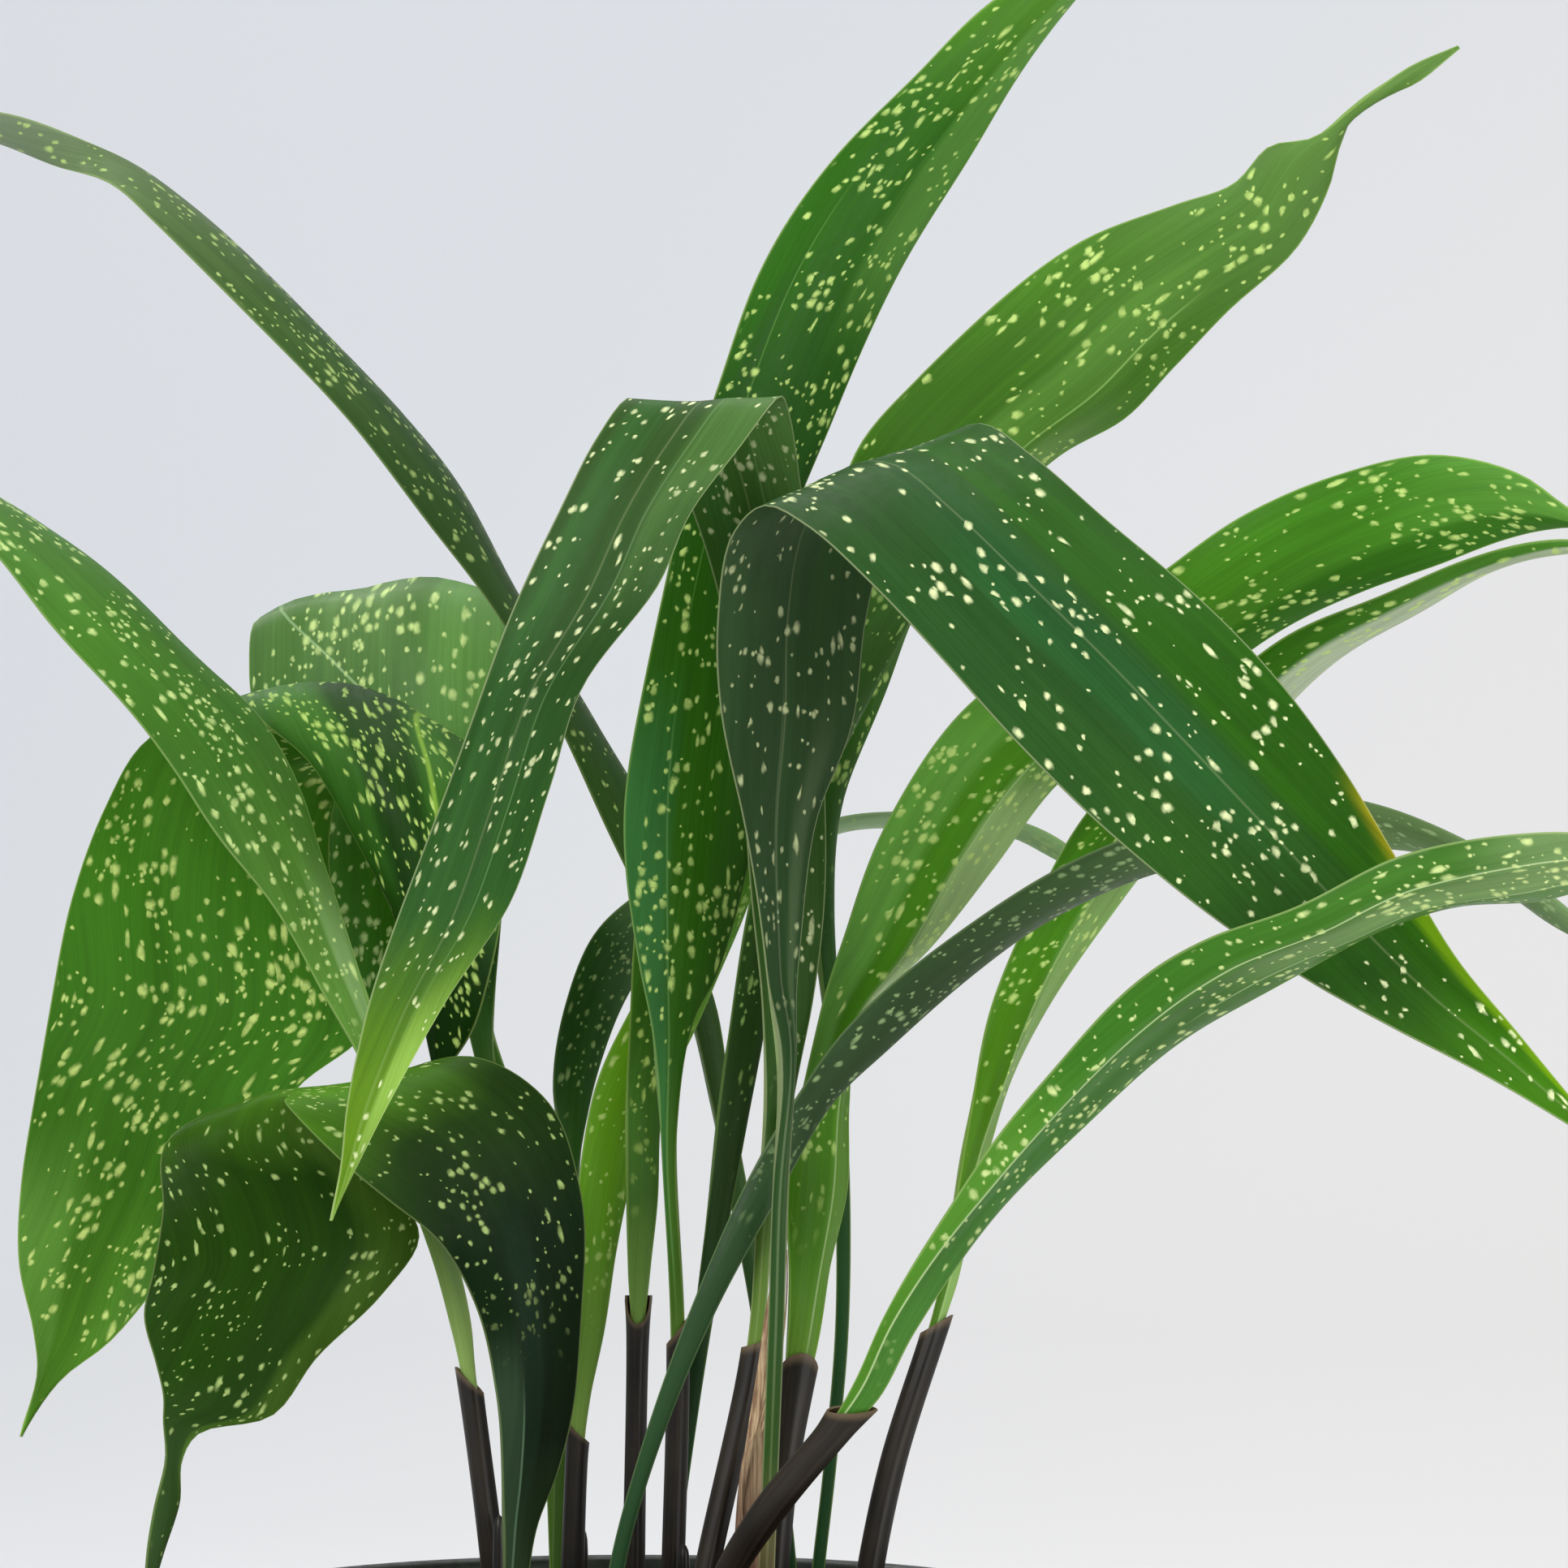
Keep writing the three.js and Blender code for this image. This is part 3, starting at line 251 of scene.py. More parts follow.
# %% Smooth lines
FOOT_HEIGHT = 166
SUNK_SLANT = 0.55
FINE_PLACES = 2001


def sighted(across, up, depth):
    """A point of the upright plane, carried along the line of sight to its depth."""
    scale = 1 + depth / EYE_DISTANCE
    return (
        EYE_ACROSS + (across - EYE_ACROSS) * scale,
        depth,
        EYE_UP + (up - EYE_UP) * scale,
    )


def along_line(points, places):
    """Points on a smooth line at places from 0 to 1."""
    padded = np.vstack([2 * points[0] - points[1], points, 2 * points[-1] - points[-2]])
    position = np.asarray(places, float) * (len(points) - 1)
    index = np.minimum(position.astype(int), len(points) - 2)
    w = (position - index)[:, None]
    a, b, c, d = (padded[index + k] for k in range(4))
    ab, bc, cd = (
        np.maximum(np.linalg.norm(q - p, axis=1, keepdims=True), 1e-6) ** 0.5
        for p, q in ((a, b), (b, c), (c, d))
    )
    start = ((b - a) / ab - (c - a) / (ab + bc) + (c - b) / bc) * bc
    end = ((c - b) / bc - (d - b) / (bc + cd) + (d - c) / cd) * bc
    bend = -3 * b + 3 * c - 2 * start - end
    turn = 2 * b - 2 * c + start + end
    return b + start * w + bend * w**2 + turn * w**3


def both_edges(points, places):
    return [along_line(points[:, edge], places) for edge in (0, 1)]


def edge_points(leaf):
    """The leaf's rows as points in space, with a foot in the compost before the first."""
    rows = np.array([[sighted(*row[:3]), sighted(*row[3:])] for row in leaf["rows"]])
    middles = rows.mean(axis=1)
    down = middles[0] - middles[1]
    down *= SUNK_SLANT * (middles[0][2] - FOOT_HEIGHT) / (middles[1][2] - middles[0][2])
    foot = rows[0] + down
    foot[:, 2] = FOOT_HEIGHT
    return np.concatenate([foot[None], rows])


def even_places(points, count):
    """Places at even steps of length along the middle of the two edges, and their lengths."""
    fine = np.linspace(0, 1, FINE_PLACES)
    middle = sum(both_edges(points, fine)) / 2
    steps = np.linalg.norm(np.diff(middle, axis=0), axis=1)
    length = np.concatenate([[0], np.cumsum(steps)])
    goals = np.linspace(0, length[-1], count)
    return np.interp(goals, length, fine), goals


longest = max(even_places(edge_points(leaf), 2)[1][-1] for leaf in LEAVES.values())
print("longest leaf", round(longest), "mm")

# %% [markdown]
# ## A grid moved into shape
#
# The blade is less than a millimetre thick and its stalk is a rounded bar. It could be a plane with
# a thickness modifier, but then the stalk would be flat too. So a grid is rolled round the section
# of the leaf: its columns run over the upper face and back under the lower one, and its first and
# last columns meet and are merged. What a finish has to know is kept with the mesh as values and as
# a map in metres.

# %% A grid moved into shape
SMOOTH_ANGLE = math.radians(50)


def rolled_grid(name, columns, rows, places):
    """A grid of columns by rows, its points moved to `places` in metres (rows, columns, 3)."""
    bpy.ops.object.select_all(action="DESELECT")
    bpy.ops.mesh.primitive_grid_add(x_subdivisions=columns - 1, y_subdivisions=rows - 1, size=1)
    piece = bpy.context.object
    piece.name = name
    mesh = piece.data
    flat = np.empty(len(mesh.vertices) * 3)
    mesh.vertices.foreach_get("co", flat)
    flat = flat.reshape(-1, 3)
    column = np.rint((flat[:, 0] + 0.5) * (columns - 1)).astype(int)
    row = np.rint((flat[:, 1] + 0.5) * (rows - 1)).astype(int)
    mesh.vertices.foreach_set("co", places[row, column].ravel())
    return piece, row, column


def keep_values(mesh, **values):
    for name, value in values.items():
        attribute = mesh.attributes.new(name, "FLOAT", "POINT")
        attribute.data.foreach_set("value", value.astype(np.float32))


def keep_map(mesh, u, v):
    corners = np.empty(len(mesh.loops), int)
    mesh.loops.foreach_get("vertex_index", corners)
    mesh.uv_layers[0].name = "leaf_map"
    mesh.uv_layers[0].data.foreach_set("uv", np.stack([u[corners], v[corners]], 1).ravel())


def close_mesh(piece):
    """Merges the seam, fills the ends and turns all faces outwards."""
    bpy.ops.object.mode_set(mode="EDIT")
    bpy.ops.mesh.select_all(action="SELECT")
    bpy.ops.mesh.remove_doubles(threshold=1e-6)
    bpy.ops.mesh.fill_holes(sides=0)
    bpy.ops.mesh.select_all(action="SELECT")
    bpy.ops.mesh.normals_make_consistent(inside=False)
    bpy.ops.object.mode_set(mode="OBJECT")
    bpy.ops.object.shade_smooth_by_angle(angle=SMOOTH_ANGLE)
    return piece


print("grid tools ready")

# %% [markdown]
# ## One leaf
#
# The rows of the grid follow the two edges. Across it, `t` runs from -1 at one edge to 1 at the
# other. The blade is hollowed along its midrib, ripples at its edges and stands up in folds, all of
# which fade to nothing on the stalk. A finish is told the distance to the edge, the share of the
# length, which face a point is on, its place across and how much of a blade the leaf is there.

# %% One leaf
FACE_COLUMNS = 17
LEAF_ROWS = 150
THICKNESS = 0.9
EDGE_THICKNESS = 0.36
EDGE_FALL = 8
STALK_THICKNESS = 4.2
STALK_FLATNESS = 0.75
STALK_WIDTH = 7
BLADE_WIDTH = 15.4
STALK_SHARE = 0.3
TIP_HALF = (0.5, 0.52)
WAY_STEP = 0.004
WAVE_TURNS = 38
EDGE_TURN = 1.3
FOLD_SPAN = 0.5


def smoothstep(low, high, value):
    t = np.clip((value - low) / (high - low), 0, 1)
    return t * t * (3 - 2 * t)


def unit(vectors):
    return vectors / np.linalg.norm(vectors, axis=1, keepdims=True)


def leaf_rows(points, places):
    """Along the leaf: its middles, its directions to the side and to its face, and its widths."""
    left, right = both_edges(points, places)
    ahead, behind = np.minimum(places + WAY_STEP, 1), np.maximum(places - WAY_STEP, 0)
    way = unit(sum(both_edges(points, ahead)) - sum(both_edges(points, behind)))
    width = np.linalg.norm(right - left, axis=1)
    side = (right - left) / width[:, None]
    return (left + right) / 2, side, unit(np.cross(side, way)), width


def blade_lift(leaf, folds, share, t, wide, blade):
    """How far the blade stands off the straight line between its edges."""
    lift = leaf["fold"] * wide * (1 - t**2) * blade
    turns = share * WAVE_TURNS + np.where(t > 0, EDGE_TURN, 0)
    lift = lift + leaf["wave"] * t**2 * blade * np.sin(turns)
    for middle, reach, at, height in folds:
        close = np.exp(-(((share - middle) / reach) ** 2))
        lift = lift + height * close * blade * np.maximum(0, 1 - np.abs(t - at) / FOLD_SPAN)
    return lift


def leaf_shape(leaf, rows, folds):
    """The grid's places and what a finish reads there, each as rows by columns."""
    points = edge_points(leaf)
    places, lengths = even_places(points, rows)
    middle, side, normal, width = leaf_rows(points, places)
    share = np.linspace(0, 1, rows)
    blade = smoothstep(STALK_WIDTH, BLADE_WIDTH, width) * smoothstep(0, STALK_SHARE, share)
    blade = np.maximum(blade, smoothstep(*TIP_HALF, share))
    over = np.linspace(-1, 1, FACE_COLUMNS)
    t = np.concatenate([over, over[::-1], over[:1]])
    face = np.concatenate([np.ones(FACE_COLUMNS), -np.ones(FACE_COLUMNS), np.ones(1)])
    wide, blade, share = width[:, None], blade[:, None], share[:, None]
    lift = blade_lift(leaf, folds, share, t, wide, blade)
    leaf_half = (EDGE_THICKNESS + (THICKNESS - EDGE_THICKNESS) * (1 - t**EDGE_FALL)) / 2
    stalk_half = STALK_THICKNESS / 2 * np.sqrt(1 - STALK_FLATNESS * t**2)
    half = blade * leaf_half + (1 - blade) * stalk_half
    place = middle[:, None] + side[:, None] * (t * wide / 2)[..., None]
    place = place + normal[:, None] * (lift + face * half)[..., None]
    full = (rows, len(t))
    rim = (1 - np.abs(t)) * wide / 2 * MM
    kept = {"rim": rim, "share": share, "face": face, "across": t, "blade": blade}
    kept = {key: np.broadcast_to(value, full) for key, value in kept.items()}
    return place * MM, t * wide / 2 * MM, np.broadcast_to(lengths[:, None], full) * MM, kept


def make_leaf(name, leaf, rows=LEAF_ROWS, folds=()):
    places, map_u, map_v, kept = leaf_shape(leaf, rows, folds)
    piece, row, column = rolled_grid(name, places.shape[1], rows, places)
    keep_values(piece.data, **{key: value[row, column] for key, value in kept.items()})
    keep_map(piece.data, map_u[row, column], map_v[row, column])
    return close_mesh(piece)


print("leaf tools ready")

# %% [markdown]
# The leaves that the photograph shows with a folded lobe or a ridge get it here: each entry is
# where along the leaf it lies, how far it reaches, where across the blade, and how high it stands.

# %% Make the leaves
FOLDS = {
    "upper_right": [(0.68, 0.12, 0.45, 4.0), (0.75, 0.05, -0.6, 1.8), (0.68, 0.03, -0.8, -1.4)],
    "right_front": [(0.5, 0.4, -0.35, 4.0), (0.8, 0.14, 0.42, 2.0)],
    "right_low": [(0.4, 0.2, 0.08, 3.0)],
    "right_back": [(0.4, 0.18, 0.32, 2.5)],
    "broad_left": [(0.5, 0.25, 0.35, 2.5), (0.6, 0.2, -0.4, -1.6)],
    "back_left": [(0.7, 0.12, -0.3, 4.0)],
    "middle_left": [(0.8, 0.15, 0.3, 2.5)],
    "folded_front": [(0.2, 0.12, -0.4, 2.0)],
    "broad_arch": [(0.6, 0.3, 0.0, -1.6)],
    "front_arch": [(0.7, 0.2, 0.3, -1.2)],
}
leaves = {}
for leaf_name, leaf in LEAVES.items():
    leaves[leaf_name] = make_leaf(f"leaf_{leaf_name}_fine", leaf, folds=FOLDS.get(leaf_name, ()))
print(len(leaves), "leaves,", sum(len(o.data.polygons) for o in leaves.values()), "faces")

# %% [markdown]
# ## Small tools for finishes
#
# A finish is a graph of nodes that ends in one shader. These helpers add a node and link it in one
# line. The graph could be drawn by hand in the shader editor. In code it can be given each leaf's
# own colours.

# %% Small tools for finishes
def new_finish(name):
    finish = bpy.data.materials.new(name)
    finish.use_nodes = True
    return finish, finish.node_tree, finish.node_tree.nodes["Principled BSDF"]


def add_node(tree, kind, inputs, **settings):
    node = tree.nodes.new("ShaderNode" + kind)
    for key, value in settings.items():
        setattr(node, key, value)
    for key, value in inputs.items():
        if isinstance(value, bpy.types.NodeSocket):
            tree.links.new(value, node.inputs[key])
        else:
            node.inputs[key].default_value = value
    return node


def calculate(tree, operation, first, second=0.0, third=0.0):
    values = {0: first, 1: second, 2: third}
    return add_node(tree, "Math", values, operation=operation).outputs[0]


def times(tree, first, second):
    return calculate(tree, "MULTIPLY", first, second)


def blend_colours(tree, share, first, second):
    values = {0: share, 6: first, 7: second}
    return add_node(tree, "Mix", values, data_type="RGBA").outputs[2]


def spread(tree, value, low, high, to_low=0.0, to_high=1.0):
    """Takes low to high smoothly to the two new ends."""
    values = {0: value, 1: low, 2: high, 3: to_low, 4: to_high}
    return add_node(tree, "MapRange", values, interpolation_type="SMOOTHSTEP").outputs[0]


def cloud(tree, place, size, detail=2.0, rough=0.5):
    values = {"Vector": place, "Scale": 1 / size, "Detail": detail, "Roughness": rough}
    return add_node(tree, "TexNoise", values, noise_dimensions="3D").outputs[0]


def stretched(tree, place, scale, shift=(0, 0, 0)):
    values = {"Vector": place, "Scale": scale, "Location": shift}
    return add_node(tree, "Mapping", values).outputs[0]


def object_place(tree):
    return add_node(tree, "TexCoord", {}).outputs["Object"]


def map_place(tree):
    return add_node(tree, "UVMap", {}, uv_map="leaf_map").outputs[0]


def kept_value(tree, name):
    return add_node(tree, "Attribute", {}, attribute_name=name).outputs["Fac"]


def dress(tree, shader, body, rough, relief, strength, height):
    """Gives the shader its colour and roughness, and a bump as high as `height` metres."""
    tree.links.new(body, shader.inputs["Base Color"])
    tree.links.new(rough, shader.inputs["Roughness"])
    bump = add_node(tree, "Bump", {"Strength": strength, "Distance": height, "Height": relief})
    tree.links.new(bump.outputs[0], shader.inputs["Normal"])


def colour(red, green, blue):
    """A colour as a picture shows it, from 0 to 255, in linear light."""
    parts = [v / 255 for v in (red, green, blue)]
    return tuple(((v + 0.055) / 1.055) ** 2.4 if v > 0.04045 else v / 12.92 for v in parts) + (1,)


print("finish tools ready")

# %% [markdown]
# ## The spots
#
# The cream spots are cells of the leaf that grew without green. They are round to oblong, run along
# the veins, stand in loose clusters and are 1 to 6 mm long. Painting them would need a picture.
# A pattern of uneven cells does as well: each cell carries one spot or none, by its own random
# value, and a slow cloud read at the cell's middle gathers the spots into clusters. Three layers
# make the round spots, the specks and the dashes.

# %% The spots
CLUSTER_SCALE = 38
SPOT_CORE = 0.25
BEND = 0.4
RAGGED = 0.2
SPOT_KINDS = [(0.0036, 1.3, 0.85, 0.42, 0), (0.0022, 1.3, 0.4, 0.36, 3), (0.0032, 2.8, 0.3, 0.36, 5)]


def spot_layer(tree, leaf_place, size, long, amount, radius, seed):
    """1 in a spot, 0 outside. `size` is the cell across in metres and `long` its length in sizes."""
    place = stretched(tree, leaf_place, (1 / size, 1 / (size * long), 1), (seed * 7.3, seed * 3.1, 0))
    values = {"Vector": place, "Scale": 1.3, "Detail": 2.0}
    bent = add_node(tree, "TexNoise", values, noise_dimensions="2D").outputs["Color"]
    values = {0: bent, 1: (BEND, BEND, 0), 2: place}
    place = add_node(tree, "VectorMath", values, operation="MULTIPLY_ADD").outputs[0]
    values = {"Vector": place, "Scale": 1.0, "Randomness": 1.0}
    cells = add_node(tree, "TexVoronoi", values, voronoi_dimensions="2D")
    own = add_node(tree, "SeparateColor", {0: cells.outputs["Color"]})
    values = {"Vector": cells.outputs["Position"], "Scale": CLUSTER_SCALE * size, "Detail": 1.0}
    gather = add_node(tree, "TexNoise", values, noise_dimensions="2D").outputs[0]
    chance = spread(tree, gather, 0.4, 0.62, amount * 0.12, amount * 1.7)
    there = calculate(tree, "LESS_THAN", own.outputs[0], chance)
    wide = calculate(tree, "MULTIPLY_ADD", own.outputs[1], radius * 0.85, radius * 0.45)
    ragged = cloud(tree, place, 0.35, 2.0)
    distance = calculate(tree, "MULTIPLY_ADD", ragged, RAGGED, cells.outputs["Distance"])
    distance = calculate(tree, "SUBTRACT", distance, RAGGED / 2)
    inside = spread(tree, distance, times(tree, wide, SPOT_CORE), wide)
    return times(tree, calculate(tree, "SUBTRACT", 1.0, inside), there)


def all_spots(tree, leaf_place, amount, size, seed):
    layers = [
        spot_layer(tree, leaf_place, cell * size, long, amount * part, radius, seed + shift)
        for cell, long, part, radius, shift in SPOT_KINDS
    ]
    both = calculate(tree, "MAXIMUM", layers[0], layers[1])
    return calculate(tree, "MAXIMUM", both, layers[2])


print(len(SPOT_KINDS), "kinds of spots")

# %% [markdown]
# ## The leaf's finish
#
# A leaf's greens change along its length and a little from one half to the other, in broad soft
# bands, with fine veins side by side. A thin painted highlight runs along its edge, and a pale thread
# runs along the midrib of some leaves. Light and shade on folds and a damp sheen are painted on as
# patches, and highlights along creases as lines, which a leaf's own list places.

# %% Stops, windows and lines
def greens_along(tree, place, stops):
    """The colours at their places from foot to tip, blended evenly."""
    node = add_node(tree, "ValToRGB", {0: place})
    ramp = node.color_ramp
    ramp.interpolation = "LINEAR"
    for number, (at, shade) in enumerate(stops):
        stop = ramp.elements[number] if number < 2 else ramp.elements.new(at)
        stop.position = at
        stop.color = shade
    return node.outputs[0]


def window(tree, value, low, high, soft):
    """1 between low and high, fading to 0 over `soft` on both sides."""
    rise = spread(tree, value, low - soft, low + soft)
    fall = spread(tree, value, high - soft, high + soft, 1.0, 0.0)
    return times(tree, rise, fall)


def near(tree, distance, reach, strength):
    """`strength` at distance 0, fading to 0 at twice the reach."""
    return spread(tree, distance, reach * 0.4, reach * 2, strength, 0.0)


print("leaf finish tools ready")

# %% [markdown]
# ### What a finish reads on a leaf
#
# The veins of the real leaf run side by side from its foot to its tip. The mesh keeps a map of the
# leaf in metres. Clouds of noise are stretched along that map, so bands and veins bend with the
# leaf. A painted picture would have to be made for each of the 18 leaves.

# %% What a finish reads on a leaf
VEIN = 0.0008
BAND = 0.006
DRIFT = 0.03
ALONG_DRIFT = 0.08
ACROSS_DRIFT = 0.3


def leaf_readings(tree, seed, front):
    """Places on the leaf, and slow, banded and fine clouds that run along its veins."""
    place = map_place(tree)
    share, across = kept_value(tree, "share"), kept_value(tree, "across")
    face = times(tree, kept_value(tree, "face"), front)
    slow = cloud(tree, stretched(tree, place, (1, 0.35, 1), (seed, seed * 2, 0)), DRIFT, 2.0)
    band = cloud(tree, stretched(tree, place, (1, 0.05, 1), (seed * 3, seed, 0)), BAND, 2.0)
    veins = cloud(tree, stretched(tree, place, (1, 0.012, 1), (seed, 0, 0)), VEIN, 1.0)
    drifted = calculate(tree, "SUBTRACT", share, ALONG_DRIFT / 2)
    wandered = calculate(tree, "SUBTRACT", across, ACROSS_DRIFT / 2)
    return SimpleNamespace(
        place=place,
        from_rib=calculate(tree, "ABSOLUTE", add_node(tree, "SeparateXYZ", {0: place}).outputs[0]),
        rim=kept_value(tree, "rim"),
        blade=kept_value(tree, "blade"),
        share=share,
        across=across,
        is_front=spread(tree, face, -0.2, 0.2),
        slow=slow,
        band=band,
        veins=spread(tree, veins, 0.35, 0.65),
        along=calculate(tree, "MULTIPLY_ADD", slow, ALONG_DRIFT, drifted),
        aside=calculate(tree, "MULTIPLY_ADD", band, ACROSS_DRIFT, wandered),
    )


print("readings ready")

# %% [markdown]
# ### From the greens to the spots
#
# The colour is laid on in the order in which it lies on the leaf. The greens of both faces come
# first, then the patches of painted light, shade and sheen, the bands and the veins, then the
# midrib, the painted highlights along the creases and the painted highlight along the edge. The
# cream spots come last, because no green shows through them.

# %% The greens, the lines and the spots of a leaf
THREAD = 0.0003
# How strong the painted highlight along each leaf's edge is.
PAINTED_RIM_HIGHLIGHT = 0.45
RICHNESS = 1.06
BANDING = 0.12
PATCH_SOFT = (0.12, 0.04)
CREASE_SOFT = 0.03
UPPER_SPOTS = 0.9


def leaf_greens(tree, on, greens, back, patches):
    """Both faces' greens from foot to tip, patches of painted light and shade, bands and veins."""
    upper = greens_along(tree, on.along, greens)
    lower = greens_along(tree, on.along, back)
    body = blend_colours(tree, on.is_front, lower, upper)
    # The patches lay painted light, shade and sheen over the greens.
    for t_low, t_high, low, high, shade, strength in patches:
        over = window(tree, on.aside, t_low, t_high, PATCH_SOFT[0])
        over = times(tree, over, window(tree, on.along, low, high, PATCH_SOFT[1]))
        body = blend_colours(tree, times(tree, over, strength), body, shade)
    light = calculate(tree, "MULTIPLY_ADD", on.band, 0.6, times(tree, on.slow, 0.4))
    tone = spread(tree, light, 0.35, 0.65, 1 - BANDING, 1 + BANDING)
    tone = times(tree, tone, calculate(tree, "MULTIPLY_ADD", on.veins, 0.1, 0.95))
    values = {"Value": tone, "Color": body, "Saturation": RICHNESS}
    return add_node(tree, "HueSaturation", values).outputs[0]


def leaf_lines(tree, on, body, spot, rib, creases):
    """The midrib, the painted highlights along the creases and the painted highlight along the edge."""
    half_width = calculate(tree, "ADD", on.from_rib, on.rim)
    pale = blend_colours(tree, 0.5, body, spot)
    body = blend_colours(tree, near(tree, on.from_rib, THREAD, rib), body, pale)
    # Each crease highlight is a painted highlight along a fold, pale against the green.
    for t_start, t_end, low, high, shade, strength, half in creases:
        values = {0: on.share, 1: low, 2: high, 3: t_start, 4: t_end}
        t_there = add_node(tree, "MapRange", values).outputs[0]
        off = calculate(tree, "ABSOLUTE", calculate(tree, "SUBTRACT", on.across, t_there))
        line = near(tree, times(tree, off, half_width), half * MM, strength)
        line = times(tree, line, window(tree, on.share, low, high, CREASE_SOFT))
        body = blend_colours(tree, line, body, shade)
    # The pale thread along the edge is a painted highlight.
    return blend_colours(tree, near(tree, on.rim, THREAD, PAINTED_RIM_HIGHLIGHT), body, pale)


def leaf_spots(tree, on, body, spot, amount, size, seed, back_spots):
    """Cream spots on the blade, dimmer on its lower face and none at the very edge."""
    spots = all_spots(tree, on.place, amount, size, seed)
    on_blade = times(tree, spread(tree, on.share, 0.24, 0.36), on.blade)
    seen = times(tree, spots, times(tree, on_blade, spread(tree, on.rim, 0.0006, 0.0016)))
    seen = times(tree, seen, spread(tree, on.is_front, 0.0, 1.0, back_spots, UPPER_SPOTS))
    fleck = spread(tree, cloud(tree, on.place, 0.0035, 2.0), 0.35, 0.62)
    cream = blend_colours(tree, fleck, blend_colours(tree, 0.35, spot, body), spot)
    return blend_colours(tree, seen, body, cream)


print("leaf colours ready")

# %% [markdown]
# ### The whole leaf finish
#
# The leaf is smooth and waxy, with a dull shine that its veins break up. They stand so little above
# the surface that a bump is enough. Cut into the mesh they would need many more faces.

# %% A whole leaf finish
LEAF_IOR = 1.42
GLOSS = (0.35, 0.52)
GROOVE = 0.0016


def leaf_finish(name, greens, back, spot, amount=0.4, size=1.0, rib=0.0, seed=1.0, front=1,
                shine=0.16, back_spots=0.5, patches=(), creases=()):
    finish, tree, shader = new_finish("leaf finish " + name)
    on = leaf_readings(tree, seed, front)
    body = leaf_greens(tree, on, greens, back, patches)
    body = leaf_lines(tree, on, body, spot, rib, creases)
    body = leaf_spots(tree, on, body, spot, amount, size, seed, back_spots)
    worn = calculate(tree, "MULTIPLY_ADD", on.veins, 0.3, cloud(tree, on.place, 0.004, 2.0))
    groove = times(tree, spread(tree, on.from_rib, 0.0, GROOVE), rib)
    relief = calculate(tree, "MULTIPLY_ADD", on.veins, 0.1, groove)
    relief = calculate(tree, "MULTIPLY_ADD", on.band, 0.8, relief)
    dress(tree, shader, body, spread(tree, worn, 0.3, 1.0, *GLOSS), relief, 0.3, 0.0006)
    shader.inputs["IOR"].default_value = LEAF_IOR
    shader.inputs["Specular IOR Level"].default_value = shine
    return finish


CREAM = (224, 234, 176)
GREEN_CREAM = (190, 218, 122)
print("leaf finish ready")

# %% [markdown]
# ## Every leaf's own greens
#
# Colours are given as a picture shows them, from 0 to 255, each with its place from the foot at 0 to
# the tip at 1. So they hold painted light and shade as well as the leaf's own greens: a stop is
# darker where that stretch lay in shade and paler where it caught the light. The leaves that arch
# forward turn their upper face away on the way up, so for them the table says which face of the mesh
# is the front. A patch paints light, shade and sheen on a stretch of the blade: a stretch across
# (-1 to 1), a stretch along (0 to 1), a colour and a strength. A crease highlight is a painted
# highlight along a fold: a place across where it starts and where it ends, a stretch along, a colour,
# a strength and half its width in mm.
# `amount` says how many spots there are, `size` how big, `back_spots` how much of them shows on the
# lower face, `rib` how pale the midrib is and `shine` how much the surface reflects.

# %% Every leaf's own greens
# The stalk greens, like the greens of every leaf below, are the plant's own colours with painted light and
# shade in them.
PALE_STALK = (0.12, (112, 142, 66))
MID_STALK = (0.12, (84, 120, 52))
DARK_STALK = (0.12, (34, 66, 36))

